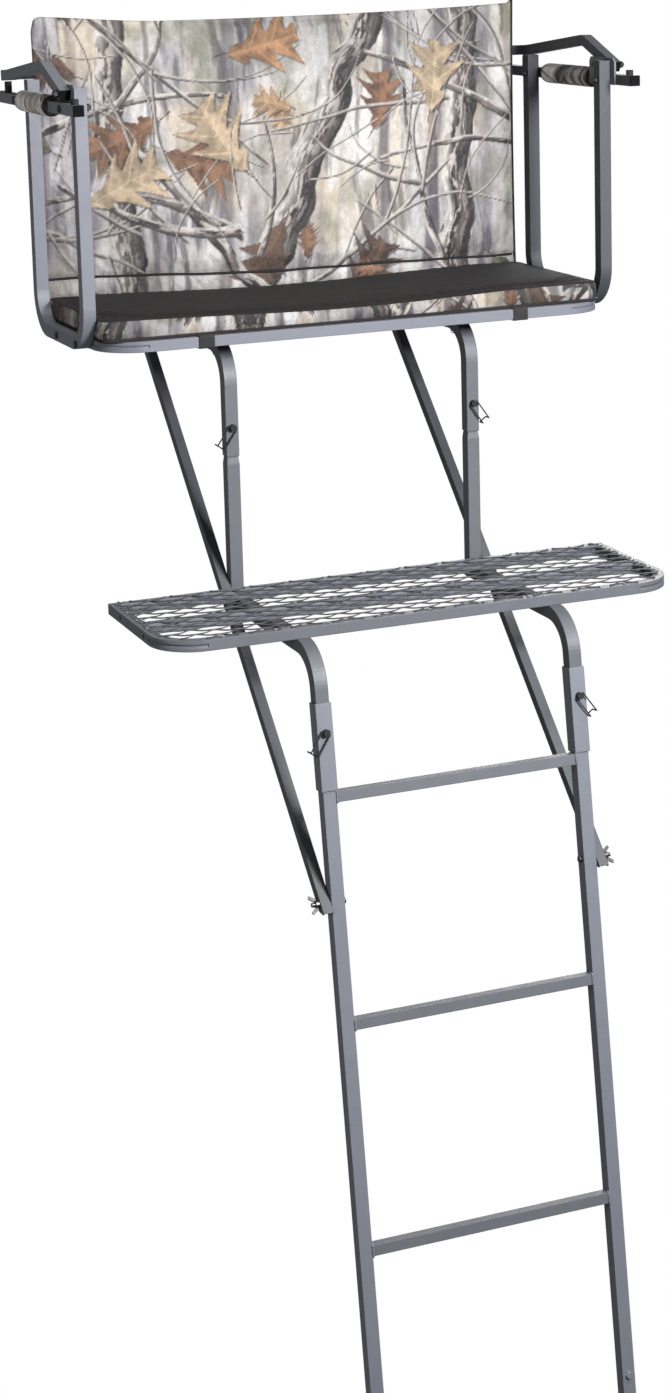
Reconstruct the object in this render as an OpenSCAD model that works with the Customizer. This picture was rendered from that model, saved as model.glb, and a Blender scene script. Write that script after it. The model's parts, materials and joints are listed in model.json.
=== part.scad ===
// Two-person ladder tree stand: leaning ladder in three sections, mesh deck,
// padded bench with backrest and arms, and a fold-back shooting rail.
// Millimetres. X to the sitter's left, Y toward the tree, Z up.
// The origin is on the ground, midway between the two ladder feet.

/* [Ladder] */
// Distance between the centre lines of the two ladder rails
rail_gap = 500; // [440:5:540]
// Outside size of the square ladder and support tube
tube = 25; // [24:0.5:26]
// Wall of every square tube
wall = 1.5; // [1.2:0.1:1.8]
// Backward lean of the ladder from upright, degrees
lean = 8; // [6:0.5:10]
// Distance between rungs
rung_pitch = 410; // [380:5:420]
// Outside size of the square rung tube
rung = 20; // [16:1:20]
// Number of ladder sections
section_count = 3; // [3:1:4]
// Number of rungs in one section
rungs_per_section = 3; // [3:1:4]

/* [Deck] */
// Width of the foot deck and of the bench frame
frame_w = 1030; // [980:5:1060]
// Depth of the foot deck
deck_d = 325; // [300:5:345]
// Outside size of the square frame tube
frame_tube = 20; // [18:1:22]
// Inside length of one mesh diamond
mesh_long = 80; // [70:2:100]
// Inside width of one mesh diamond
mesh_short = 33; // [28:1:40]

/* [Bench] */
// Height of the bench frame above the deck
seat_h = 493; // [460:1:520]
// Depth of the bench frame
seat_d = 431; // [400:1:460]
// Setback of the bench front from the deck front
seat_setback = 272; // [250:2:290]
// Top of the backrest above the deck
back_top = 1066; // [1000:2:1100]

/* [Arms] */
// Outside size of the square arm tube
arm_tube = 24; // [20:1:24]
// Top of the arm posts above the deck
post_top = 957; // [930:1:970]
// Centre height of the arm bars above the deck
arm_h = 920; // [900:1:930]
// Distance between the front and rear posts of one arm
post_gap = 312; // [300:2:330]

/* [Hidden] */
$fn = 48;
eps = 0.01;
weld_lap = 0.03;

// ladder
section_len = rungs_per_section * rung_pitch;
sleeve_size = 30;
sleeve_len = 157;
sleeve_bottom = 280;
sleeve_pin = 175;
rail_top_in_sleeve = 52;
foot_h = 8;
neck = tube - 2 * wall - 0.12;
neck_len = 95;
joint_pin_up = 61;
foot_bolt = 26;
rung_drop = 12;
ladder_len = sleeve_bottom + section_count * section_len;

// deck datum: top of the mesh at the front edge of the deck
deck_gap = 53.5;
deck_y = ladder_len * sin(lean) + deck_gap;
deck_z = foot_h + ladder_len * cos(lean);
mesh_t = 2.5;
frame_bend = 75;
deck_top = -mesh_t;
deck_bottom = deck_top - frame_tube;
leg_z = deck_bottom - tube / 2;
leg_bend = 72;
mid_bar = 150;
side_hole_front = 110;
side_hole_rear = 250;
upright_y = 359;
upright_x = rail_gap / 2;

// bench
seat_top = seat_h;
seat_bottom = seat_h - frame_tube;
spacer_t = 6;
support_z = seat_bottom - spacer_t - tube / 2;
support_bend = 70;
upright_joint = 247;
upright_pin = 303;
support_end = 845;
seat_rear = seat_setback + seat_d;
seat_mid = seat_setback + mid_bar + 10;
seat_back = seat_rear - frame_tube / 2;
slat_t = 2.5;
cushion_bottom = seat_top + slat_t + 1;
cushion_top = seat_top + 40;
cushion_w = frame_w - 16;
cushion_front = seat_setback + 12;
cushion_rear = seat_back - 47;
back_front = 649;
back_t = 31;
back_w = frame_w - 30;
back_bottom = cushion_top - 12;
back_leg_x = 430;
strap_x = 320;

// braces
brace = 19;
brace_x = rail_gap / 2 + tube / 2 + brace / 2 + 1;
brace_low_a = 480;
brace_low_y = -deck_gap - brace_low_a * sin(lean);
brace_low_z = -brace_low_a * cos(lean);
brace_high_y = 829;
brace_high_z = support_z;
brace_run = norm([brace_high_y - brace_low_y, brace_high_z - brace_low_z]);
brace_tilt = atan2(brace_high_y - brace_low_y, brace_high_z - brace_low_z);

// arms and shooting rail
arm_gap = 2;
arm_x = frame_w / 2 + arm_gap + arm_tube / 2;
post_front = 326;
post_rear = post_front + post_gap;
arm_run_z = seat_top - frame_tube / 2;
arm_bend = 70;
plate_t = 4;
bar = 20;
bar_x = arm_x + arm_tube / 2 + plate_t + bar / 2;
bar_front = 242;
bar_rear = 782;
arm_bolt_front = 372;
arm_bolt_rear = 500;
pad_d = 42;
pad_front = 405;
pad_len = 205;
pivot_y = 329;
pivot_z = arm_h + 27;
rail_x = bar_x + 1;
rail_nose = 8;
rail_rise = 21.5;
rail_first = 117;
rail_bend = 30;
rail_fall = 6.5;
rail_second = 236;
rail_level = 4;
rail_third = 18;
rail_corner = 40;
rail_pad_half = 380;

// fasteners
bolt = 8;
hole = 8.2;

// ---- placing ----

// Moves children to the deck datum.
module at_deck() {
    translate([0, deck_y, deck_z]) children();
}

// Moves children to a point the given distance down the ladder from the deck,
// with local Z up along the ladder and local -Y out of its front.
module on_ladder(down) {
    along = ladder_len - down;
    translate([0, along * sin(lean), foot_h + along * cos(lean)])
        rotate([-lean, 0, 0]) children();
}

// Repeats children on both sides of the middle plane.
module both_sides() {
    children();
    mirror([1, 0, 0]) children();
}

// ---- tube ----

// Section of square tube; a dent is pressed into its outer wall in tight bends.
module tube_section(size, t, dent = 0) {
    difference() {
        square(size, center = true);
        translate([-dent / 2, 0]) square([size - 2 * t - dent, size - 2 * t], center = true);
        if (dent > 0) translate([size / 2 + dent * 0.5, 0]) circle(d = dent * 3);
    }
}

// Straight square tube from the origin along +Z.
module straight_tube(length, size = tube, t = wall) {
    linear_extrude(length) tube_section(size, t);
}

// Square tube centred on the origin along X.
module cross_tube(length, size = tube, t = wall) {
    translate([-length / 2, 0, 0]) rotate([0, 90, 0]) straight_tube(length, size, t);
}

// Square bar centred on the origin along X, closed.
module block(size) {
    cube(size, center = true);
}

// Arc of tube that starts at the origin along +Z and turns toward +X
// for a positive angle, toward -X for a negative one.
module tube_arc(r, angle, size, t, dent) {
    mirror([angle > 0 ? 1 : 0, 0, 0])
        translate([-r, 0, 0]) rotate([90, 0, 0])
            rotate_extrude(angle = abs(angle)) translate([r, 0]) tube_section(size, t, dent);
}

// Carries children to the far end of a tube_arc.
module past_arc(r, angle) {
    side = angle > 0 ? 1 : -1;
    translate([side * r, 0, 0]) rotate([0, angle, 0]) translate([-side * r, 0, 0]) children();
}

// Bent tube: each step is [straight length, bend radius, bend angle].
// A bend that isn't square needs a small lap between its pieces to fuse.
module bent_tube(steps, size = tube, t = wall, dent = 0, lap = 0, step = 0) {
    length = steps[step][0];
    r = steps[step][1];
    angle = steps[step][2];
    before = step > 0 ? lap : 0;
    translate([0, 0, -before]) straight_tube(length + before + lap, size, t);
    translate([0, 0, length]) {
        if (angle != 0) tube_arc(r, angle, size, t, dent);
        if (step < len(steps) - 1)
            past_arc(r, angle) bent_tube(steps, size, t, dent, lap, step + 1);
    }
}

// Points of an arc round [cy, cz] from one angle to another.
function arc_points(cy, cz, r, a0, a1, n) =
    [for (i = [0 : n]) [cy + r * cos(a0 + (a1 - a0) * i / n), cz + r * sin(a0 + (a1 - a0) * i / n)]];

// Side outline of a tube that rises by a length, bends toward +Y by an angle
// and runs on; h is half its thickness and past lengthens both of its ends.
function elbow_outline(rise, r, angle, run, h, past) = let (
    a1 = 180 - angle,
    d = [sin(angle), cos(angle)],
    end = [r, rise] + (run + past) * d
) concat(
    [[-h, -past]],
    arc_points(r, rise, r + h, 180, a1, 16),
    [end + (r + h) * [cos(a1), sin(a1)], end + (r - h) * [cos(a1), sin(a1)]],
    arc_points(r, rise, r - h, a1, 180, 16),
    [[h, -past]]
);

// Square tube with one bend, in the YZ plane.
module elbow_tube(rise, r, angle, run, size, t) {
    rotate([90, 0, 90]) difference() {
        translate([0, 0, -size / 2]) linear_extrude(size)
            polygon(elbow_outline(rise, r, angle, run, size / 2, 0));
        translate([0, 0, t - size / 2]) linear_extrude(size - 2 * t)
            polygon(elbow_outline(rise, r, angle, run, size / 2 - t, 1));
    }
}

// ---- ladder ----

// The two rails of one section from their lower ends, each with a narrower
// neck on top that slides into the section above.
module section_rails(has_neck, has_socket, top_stub, has_foot = false) {
    for (x = [-rail_gap / 2, rail_gap / 2]) translate([x, 0, 0]) difference() {
        union() {
            straight_tube(section_len + top_stub);
            if (has_neck) {
                translate([0, 0, section_len - 20]) straight_tube(neck_len + 20, neck);
                translate([0, 0, section_len - 20]) linear_extrude(18) difference() {
                    square(tube - 2 * wall + 0.1, center = true);
                    square(neck - 0.1, center = true);
                }
            }
        }
        if (has_socket) translate([0, 0, joint_pin_up]) through_hole();
        if (has_neck) translate([0, 0, section_len + joint_pin_up]) through_hole();
        if (has_foot) translate([0, 0, foot_bolt]) rotate([0, 90, 0])
            cylinder(d = hole, h = tube + 2, center = true);
        if (top_stub > 0) translate([0, 0, section_len + sleeve_bottom - brace_low_a])
            rotate([0, 90, 0]) cylinder(d = hole, h = tube + 2, center = true);
    }
}

// Hole along Y through a tube.
module through_hole() {
    rotate([90, 0, 0]) cylinder(d = hole, h = sleeve_size + 4, center = true);
}

module lower_rails() {
    color("slategray") on_ladder(ladder_len) section_rails(true, false, 0, true);
}

module middle_rails() {
    color("slategray") for (k = [1 : section_count - 2])
        on_ladder(ladder_len - k * section_len) section_rails(true, true, 0);
}

module top_rails() {
    color("slategray") on_ladder(sleeve_bottom + section_len)
        section_rails(false, true, rail_top_in_sleeve);
}

// Rungs between the rails, their fronts flush with the rail fronts.
module rungs() {
    color("slategray") for (k = [0 : section_count * rungs_per_section - 1])
        on_ladder(sleeve_bottom + rung_drop + k * rung_pitch)
            translate([0, (rung - tube) / 2, 0]) cross_tube(rail_gap - tube, rung);
}

// Level foot plate under each rail, with a cheek on each side of the rail.
module ladder_feet() {
    cheek = tube / 2 + 2.1;
    color("dimgray") both_sides() translate([rail_gap / 2, 0, 0]) difference() {
        union() {
            translate([0, 0, 2.5]) block([60, 90, 5]);
            for (x = [-cheek, cheek]) translate([x, 0, 25]) block([4, 40, 50]);
        }
        at_foot_bolt() rotate([0, 90, 0]) cylinder(d = hole, h = 60, center = true);
    }
}

// Places children where the bolt of a foot crosses its rail.
module at_foot_bolt() {
    translate([0, foot_bolt * sin(lean), foot_h + foot_bolt * cos(lean)]) children();
}

module foot_bolts() {
    reach = tube / 2 + 4.1;
    color("silver") both_sides() translate([rail_gap / 2, 0, 0]) at_foot_bolt() rotate([0, 90, 0]) {
        translate([0, 0, -reach - 8]) cylinder(d = bolt, h = 2 * reach + 8);
        translate([0, 0, reach + 0.2]) cylinder(d = 13, h = 5, $fn = 6);
        translate([0, 0, reach - 0.1]) cylinder(d = bolt, h = 0.6);
        translate([0, 0, -reach - 6.5]) cylinder(d = 13, h = 6.3, $fn = 6);
    }
}

// Bolt with a hexagon head along -Y, its head under face distance from centre.
module cross_bolt(face, tail) {
    rotate([90, 0, 0]) {
        translate([0, 0, -tail]) cylinder(d = bolt, h = face + tail);
        translate([0, 0, face]) cylinder(d = 13, h = 5, $fn = 6);
    }
}

module section_pins() {
    color("silver") for (k = [1 : section_count - 1])
        on_ladder(ladder_len - k * section_len)
            for (x = [-rail_gap / 2, rail_gap / 2]) translate([x, 0, joint_pin_up]) {
                cross_bolt(tube / 2, tube / 2 + 8);
                translate([0, tube / 2, 0]) rotate([-90, 0, 0]) cylinder(d = 13, h = 6, $fn = 6);
            }
}

module ladder_sleeves() {
    color("slategray") on_ladder(sleeve_bottom)
        for (x = [-rail_gap / 2, rail_gap / 2]) translate([x, 0, 0]) difference() {
            straight_tube(sleeve_len, sleeve_size, (sleeve_size - tube - 0.2) / 2);
            translate([0, 0, sleeve_bottom - sleeve_pin]) through_hole();
        }
}

// ---- deck ----

// Leg tube: up out of the ladder sleeve, then back under the deck.
leg_turn = 90 - lean;
leg_corner = -leg_z / cos(lean);
leg_tangent = leg_bend * tan(leg_turn / 2);
leg_low = sleeve_bottom - rail_top_in_sleeve - 2;
leg_bend_start = leg_corner + leg_tangent;
leg_corner_y = -deck_gap + leg_z * tan(lean);
leg_back = upright_y + tube / 2 - (leg_corner_y + leg_tangent);

module deck_legs() {
    color("slategray") difference() {
        on_ladder(leg_low) for (x = [-rail_gap / 2, rail_gap / 2]) translate([x, 0, 0])
            elbow_tube(leg_low - leg_bend_start, leg_bend, leg_turn, leg_back, tube, wall);
        on_ladder(sleeve_pin) for (x = [-rail_gap / 2, rail_gap / 2]) translate([x, 0, 0]) through_hole();
        at_deck() for (x = [-upright_x, upright_x], y = [mid_bar + 10, deck_d - 10])
            translate([x, y, leg_z]) cylinder(d = hole, h = tube + 2, center = true);
    }
}

// U frame bent from one tube, its front face at Y = 0 and its top at Z = 0,
// open at the back and drilled through its two sides.
module u_frame(depth) {
    half = (frame_w - frame_tube) / 2;
    side = depth - frame_tube / 2 - frame_bend;
    translate([-half, depth, -frame_tube / 2]) rotate([90, 0, 0])
        bent_tube([[side, frame_bend, 90], [2 * (half - frame_bend), frame_bend, 90], [side, 0, 0]],
            frame_tube, wall, 2.2);
}

// Cross bars between the sides of a U frame: one in the middle, one at the back.
module frame_bars(depth) {
    for (y = [mid_bar + frame_tube / 2, depth - frame_tube / 2])
        translate([0, y, -frame_tube / 2]) cross_tube(frame_w - 2 * frame_tube, frame_tube);
}

module deck_frame() {
    color("slategray") at_deck() translate([0, 0, deck_top]) difference() {
        u_frame(deck_d);
        for (s = [-1, 1], y = [side_hole_front, side_hole_rear])
            translate([s * (frame_w / 2 - frame_tube / 2), y, -frame_tube / 2])
                rotate([0, 90, 0]) cylinder(d = hole, h = frame_tube + 2, center = true);
    }
}

module deck_bars() {
    color("slategray") at_deck() difference() {
        translate([0, 0, deck_top]) frame_bars(deck_d);
        for (x = [-upright_x, upright_x], y = [mid_bar + 10, deck_d - 10])
            translate([x, y, leg_z + tube / 2]) cylinder(d = hole, h = 3 * frame_tube, center = true);
    }
}

// Outline of the mesh sheet, with the deck's round front corners.
module mesh_outline(inset) {
    r = frame_bend + frame_tube / 2 - inset;
    half = frame_w / 2 - inset;
    hull_y = r + inset;
    for (s = [-1, 1]) translate([s * (half - r), hull_y]) circle(r = r);
    translate([-half, hull_y]) square([2 * half, deck_d - inset - hull_y]);
    translate([-(half - r), inset]) square([2 * (half - r), r]);
}

// Sheet of diamond mesh lying on the deck frame.
module deck_mesh() {
    strand = 6;
    columns = floor((frame_w - 90) / mesh_long);
    rows = floor((deck_d - 44) / mesh_short);
    x0 = -columns * mesh_long / 2;
    y0 = (deck_d - rows * mesh_short) / 2;
    color("dimgray") at_deck() translate([0, 0, deck_top]) linear_extrude(mesh_t) difference() {
        mesh_outline(3);
        for (i = [0 : columns - 1], j = [0 : rows - 1])
            translate([x0 + (i + 0.5) * mesh_long, y0 + (j + 0.5) * mesh_short]) mesh_diamond(strand);
        for (i = [1 : columns - 1], j = [1 : rows - 1])
            translate([x0 + i * mesh_long, y0 + j * mesh_short]) mesh_diamond(strand);
    }
}

// One diamond opening, less half a strand all round.
module mesh_diamond(strand) {
    cut = strand / 2 / sin(atan2(mesh_short, mesh_long));
    a = mesh_long / 2 - cut;
    b = a * mesh_short / mesh_long;
    polygon([[-a, 0], [0, -b], [a, 0], [0, b]]);
}

// Vertical bolt: shank from z0 up to z1, nut below.
module vertical_bolt(z0, z1) {
    translate([0, 0, z0 - 12]) cylinder(d = bolt, h = z1 - z0 + 12);
    translate([0, 0, z0 - 7]) cylinder(d = 13, h = 6.5, $fn = 6);
}

module deck_bolts() {
    color("silver") at_deck() for (x = [-upright_x, upright_x], y = [mid_bar + 10, deck_d - 10])
        translate([x, y, 0]) vertical_bolt(leg_z - tube / 2, deck_top - 0.3);
}

// ---- uprights and bench ----

module lower_uprights() {
    low = deck_bottom;
    shoulder = upright_joint - 3;
    color("slategray") at_deck() difference() {
        for (x = [-upright_x, upright_x]) translate([x, upright_y, 0]) {
            translate([0, 0, low]) straight_tube(shoulder - 12 - low);
            hull() {
                translate([0, 0, shoulder - 12]) block([tube, tube, eps]);
                translate([0, 0, shoulder]) block([neck, neck, eps]);
            }
            translate([0, 0, shoulder]) straight_tube(85, neck);
        }
        for (x = [-upright_x, upright_x]) translate([x, upright_y, upright_pin]) through_hole();
    }
}

module seat_supports() {
    rise = support_z - support_bend - upright_joint;
    back = support_end - upright_y - support_bend;
    color("slategray") at_deck() difference() {
        for (x = [-upright_x, upright_x]) translate([x, upright_y, upright_joint])
            rotate([0, 0, 90]) bent_tube([[rise, support_bend, 90], [back, 0, 0]]);
        for (x = [-upright_x, upright_x]) {
            translate([x, upright_y, upright_pin]) through_hole();
            translate([x, brace_high_y, brace_high_z]) rotate([0, 90, 0])
                cylinder(d = hole, h = tube + 2, center = true);
            for (y = [seat_mid, seat_back]) translate([x, y, support_z])
                cylinder(d = hole, h = tube + 2, center = true);
        }
    }
}

module seat_spacers() {
    color("dimgray") at_deck() for (x = [-upright_x, upright_x], y = [seat_mid, seat_back])
        translate([x, y, seat_bottom - spacer_t / 2]) difference() {
            block([tube, 22, spacer_t]);
            cylinder(d = hole, h = spacer_t + 2, center = true);
        }
}

module seat_frame() {
    color("slategray") at_deck() difference() {
        translate([0, seat_setback, seat_top]) u_frame(seat_d);
        for (s = [-1, 1], y = [arm_bolt_front, arm_bolt_rear])
            translate([s * frame_w / 2, y, arm_run_z]) rotate([0, 90, 0])
                cylinder(d = hole, h = 3 * frame_tube, center = true);
    }
}

module seat_bars() {
    color("slategray") at_deck() difference() {
        translate([0, seat_setback, seat_top]) frame_bars(seat_d);
        for (x = [-upright_x, upright_x], y = [seat_mid, seat_back])
            translate([x, y, seat_bottom]) cylinder(d = hole, h = 3 * frame_tube, center = true);
    }
}

// Flat steel slats across the bench frame, under the cushion.
module seat_slats() {
    color("dimgray") at_deck() for (y = [330, 390, 500, 560, 620])
        translate([0, y, seat_top + slat_t / 2]) block([frame_w - 8, 28, slat_t]);
}

module seat_bolts() {
    color("silver") at_deck() for (x = [-upright_x, upright_x], y = [seat_mid, seat_back])
        translate([x, y, 0]) {
            vertical_bolt(support_z - tube / 2, seat_top + 0.5);
            translate([0, 0, seat_top + 0.2]) cylinder(d = 13, h = 2);
        }
}

// ---- braces ----

// Places children at a brace's lower hole with local Z along the brace.
module at_brace(side) {
    at_deck() translate([side * brace_x, brace_low_y, brace_low_z])
        rotate([-brace_tilt, 0, 0]) children();
}

module braces() {
    color("slategray") for (s = [-1, 1]) difference() {
        at_brace(s) translate([0, 0, -24]) straight_tube(brace_run + 38, brace);
        for (z = [0, brace_run]) at_brace(s) translate([0, 0, z]) rotate([0, 90, 0])
            cylinder(d = hole, h = brace + 2, center = true);
        at_deck() translate([s * brace_x, brace_low_y, brace_low_z - 34])
            block([brace + 2, 60, 40]);
    }
}

module brace_bolts() {
    color("silver") for (s = [-1, 1], z = [0, brace_run]) at_brace(s) translate([0, 0, z])
        rotate([0, s * 90, 0]) {
            translate([0, 0, -brace / 2 - tube - 1]) cylinder(d = bolt, h = brace + tube + 1 + 14);
            translate([0, 0, -brace / 2 - tube - 6]) cylinder(d = 13, h = 5, $fn = 6);
        }
}

// Wing nut on the outer end of each brace bolt.
module brace_wing_nuts() {
    color("silver") for (s = [-1, 1], z = [0, brace_run]) at_brace(s) translate([0, 0, z])
        rotate([0, s * 90, 0]) translate([0, 0, brace / 2 + 0.2]) difference() {
            union() {
                cylinder(d = 15, h = 7);
                for (w = [-1, 1]) mirror([w < 0 ? 1 : 0, 0, 0]) translate([0, 1.5, 0]) rotate([90, 0, 0])
                    linear_extrude(3) polygon([[4, 1], [12, 5], [18, 15], [13, 17], [6, 9], [4, 6]]);
            }
            translate([0, 0, -1]) cylinder(d = bolt + 0.1, h = 20);
        }
}

// ---- tree side ----

module tree_bar() {
    color("slategray") at_deck() translate([0, support_end + tube / 2, support_z])
        cross_tube(rail_gap + tube + 20);
}

// V jaw of two toothed plates that bite the trunk.
module tree_jaw() {
    jaw_y = support_end + tube;
    color("dimgray") at_deck() translate([0, jaw_y, support_z]) {
        translate([0, 2.5, 0]) block([90, 5, 60]);
        both_sides() translate([42, 3, -30]) rotate([0, 0, 38]) {
            cube([135, 5, 60]);
            for (z = [0, 55]) translate([0, 4.5, z]) linear_extrude(5) polygon([
                for (k = [0 : 8]) each [[8 + 14 * k, 0], [15 + 14 * k, 13]], [134, 0]
            ]);
        }
    }
}

// Round-bar loops for the tree straps.
module strap_loops() {
    color("silver") at_deck() for (x = [-200, 200])
        translate([x, support_end + tube, support_z])
            rotate_extrude(angle = 180) translate([24, 0]) circle(d = 8);
}

// ---- backrest ----

module back_sockets() {
    color("slategray") at_deck() for (x = [-back_leg_x, back_leg_x])
        translate([x, seat_back, seat_top]) straight_tube(55, frame_tube + 4.4, 2);
}

module back_frame() {
    leg = back_top - 30 - frame_tube / 2 - frame_bend - seat_top - 3;
    color("slategray") at_deck() translate([-back_leg_x, seat_back, seat_top + 3])
        bent_tube([[leg, frame_bend, 90], [2 * (back_leg_x - frame_bend), frame_bend, 90], [leg, 0, 0]],
            frame_tube, wall, 2.2);
}

// Pad from a rectangle of the given size with rounded upright edges.
module soft_block(w, d, h, r) {
    translate([0, 0, 0]) block([w - 2 * r, d, h]);
    translate([0, 0, 0]) block([w, d - 2 * r, h]);
    for (x = [-1, 1], y = [-1, 1]) translate([x * (w / 2 - r), y * (d / 2 - r), 0])
        cylinder(r = r, h = h, center = true);
}

module backrest_pad() {
    color("darkkhaki") at_deck()
        translate([0, back_front + back_t / 2, (back_bottom + back_top) / 2])
            soft_block(back_w, back_t, back_top - back_bottom, 12);
}

module seat_cushion() {
    d = cushion_rear - cushion_front;
    h = cushion_top - cushion_bottom;
    color("darkslategray") at_deck()
        translate([0, (cushion_front + cushion_rear) / 2, (cushion_bottom + cushion_top) / 2])
            soft_block(cushion_w, d, h, 12);
}

// Webbing loops that tie the cushion to the front tube.
module cushion_straps() {
    t = 2;
    gap = 0.4;
    out = frame_tube + 2 * gap + 2 * t;
    color("black") at_deck() for (x = [-strap_x, strap_x])
        translate([x, seat_setback + frame_tube / 2, seat_top - frame_tube / 2])
            difference() {
                block([30, out, out]);
                block([32, out - 2 * t, out - 2 * t]);
            }
}

// ---- arms ----

module arm_frames() {
    rise = post_top - arm_run_z - arm_bend;
    color("slategray") at_deck() both_sides() translate([arm_x, 0, 0]) difference() {
        translate([0, post_front, post_top]) mirror([0, 0, 1]) rotate([0, 0, 90])
            bent_tube([[rise, arm_bend, 90], [post_gap - 2 * arm_bend, arm_bend, 90], [rise, 0, 0]],
                arm_tube);
        for (y = [post_front, post_rear]) translate([0, y, arm_h]) side_hole();
        for (y = [arm_bolt_front, arm_bolt_rear]) translate([0, y, arm_run_z]) side_hole();
    }
}

// Hole along X through a tube.
module side_hole() {
    rotate([0, 90, 0]) cylinder(d = hole, h = 2 * tube, center = true);
}

module arm_spacers() {
    color("dimgray") at_deck() both_sides() {
        for (y = [arm_bolt_front, arm_bolt_rear])
            translate([frame_w / 2, y, arm_run_z]) spacer_ring(arm_gap);
        translate([arm_x + arm_tube / 2, post_rear, arm_h]) spacer_ring(plate_t);
    }
}

module spacer_ring(length) {
    rotate([0, 90, 0]) difference() {
        cylinder(d = 20, h = length);
        translate([0, 0, -1]) cylinder(d = hole, h = length + 2);
    }
}

// Bolts of the arm frames and arm bars, heads outward.
module arm_bolts() {
    color("black") at_deck() both_sides() {
        for (y = [arm_bolt_front, arm_bolt_rear])
            translate([arm_x + arm_tube / 2, y, arm_run_z]) side_bolt(arm_tube + arm_gap + frame_tube);
        for (y = [post_front, post_rear])
            translate([bar_x + bar / 2, y, arm_h]) side_bolt(bar + plate_t + arm_tube);
    }
}

// Bolt along X: domed head at the origin, shank inward, nut at its end.
module side_bolt(grip) {
    rotate([0, 90, 0]) {
        translate([0, 0, -grip - 10]) cylinder(d = bolt, h = grip + 10);
        cylinder(d = 14, h = 3);
        translate([0, 0, -grip - 6.5]) cylinder(d = 13, h = 6.3, $fn = 6);
    }
}

module arm_bars() {
    length = bar_rear - bar_front;
    color("slategray") at_deck() both_sides() difference() {
        translate([bar_x, bar_rear, arm_h]) rotate([90, 0, 0]) straight_tube(length, bar);
        for (y = [post_front, post_rear]) translate([bar_x, y, arm_h]) side_hole();
    }
}

// Square plastic plugs in both ends of each arm bar.
module arm_bar_caps() {
    color("black") at_deck() both_sides() translate([bar_x, 0, arm_h]) {
        translate([0, bar_front - 1.5, 0]) block([bar, 3, bar]);
        translate([0, bar_front + 6, 0]) block([bar - 2 * wall - 0.2, 12.2, bar - 2 * wall - 0.2]);
        translate([0, bar_rear + 1.5, 0]) block([bar, 3, bar]);
        translate([0, bar_rear - 6, 0]) block([bar - 2 * wall - 0.2, 12.2, bar - 2 * wall - 0.2]);
    }
}

// Foam roll round an arm bar, with rounded ends.
module arm_pads() {
    color("darkkhaki") at_deck() both_sides() translate([bar_x, pad_front, arm_h])
        rotate([-90, 0, 0]) foam_roll(pad_len, pad_d, bar + 0.8);
}

module foam_roll(length, d, bore) {
    r = 6;
    linear_extrude(length, convexity = 4) difference() {
        circle(d = d - 2 * r);
        square(bore, center = true);
    }
    translate([0, 0, 0]) rotate_extrude() translate([d / 2 - r - eps, 0])
        union() {
            translate([0, r]) square([r + eps, length - 2 * r]);
            square([eps * 2, length]);
            for (y = [r, length - r]) translate([eps, y]) intersection() {
                circle(r = r);
                translate([0, -r]) square([r, 2 * r]);
            }
        }
}

// ---- shooting rail ----

// Flat plate between each front post and its arm bar; it carries the pivot.
module rail_plates() {
    x = arm_x + arm_tube / 2;
    color("slategray") at_deck() both_sides() translate([x, 0, 0]) difference() {
        rotate([90, 0, 90]) linear_extrude(plate_t) polygon([
            [298, arm_h - 10], [402, arm_h - 10], [402, arm_h + 34], [396, arm_h + 42],
            [306, arm_h + 42], [298, arm_h + 34]
        ]);
        translate([0, pivot_y, pivot_z]) side_hole();
        translate([0, post_front, arm_h]) side_hole();
        translate([0, 388, pivot_z]) side_hole();
    }
}

// Pivot bolts: head against the plate on the post side, lock nut outside.
module rail_pivots() {
    color("black") at_deck() both_sides() translate([rail_x, pivot_y, pivot_z]) rotate([0, 90, 0]) {
        translate([0, 0, -bar / 2 - plate_t - 0.8]) cylinder(d = bolt, h = bar + plate_t + 11.8);
        translate([0, 0, -bar / 2 - 0.9]) cylinder(d = 16, h = 0.6);
        translate([0, 0, bar / 2 + 0.3]) cylinder(d = 16, h = 1.2);
        translate([0, 0, bar / 2 + 1.5]) cylinder(d = 13, h = 7, $fn = 6);
    }
}

// Rubber stops under the rail: at the front for use, at the back for rest.
module rail_front_stops() {
    color("black") at_deck() both_sides() translate([bar_x, 262, arm_h + bar / 2])
        cylinder(d = 14, h = 10);
}

module rail_rear_stops() {
    color("black") at_deck() both_sides() translate([bar_x, rail_end_y - 4, arm_h + bar / 2])
        cylinder(d = 14, h = rear_stop_h);
}

// One side of the rail from its nose: up and back, level, then a quarter turn inward.
module rail_side() {
    translate([rail_x, pivot_y, pivot_z]) rotate([rail_rise - 90, 0, 0])
        translate([0, 0, -rail_nose]) difference() {
            rotate([0, 0, 90]) bent_tube([
                [rail_nose + rail_first, rail_bend, rail_rise + rail_fall],
                [rail_second, 200, -rail_level],
                [rail_third, 0, 0]
            ], bar, wall, 0, weld_lap);
            translate([0, 0, rail_nose]) rotate([0, 90, 0])
                cylinder(d = bolt + 0.12, h = 2 * tube, center = true);
        }
}

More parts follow.
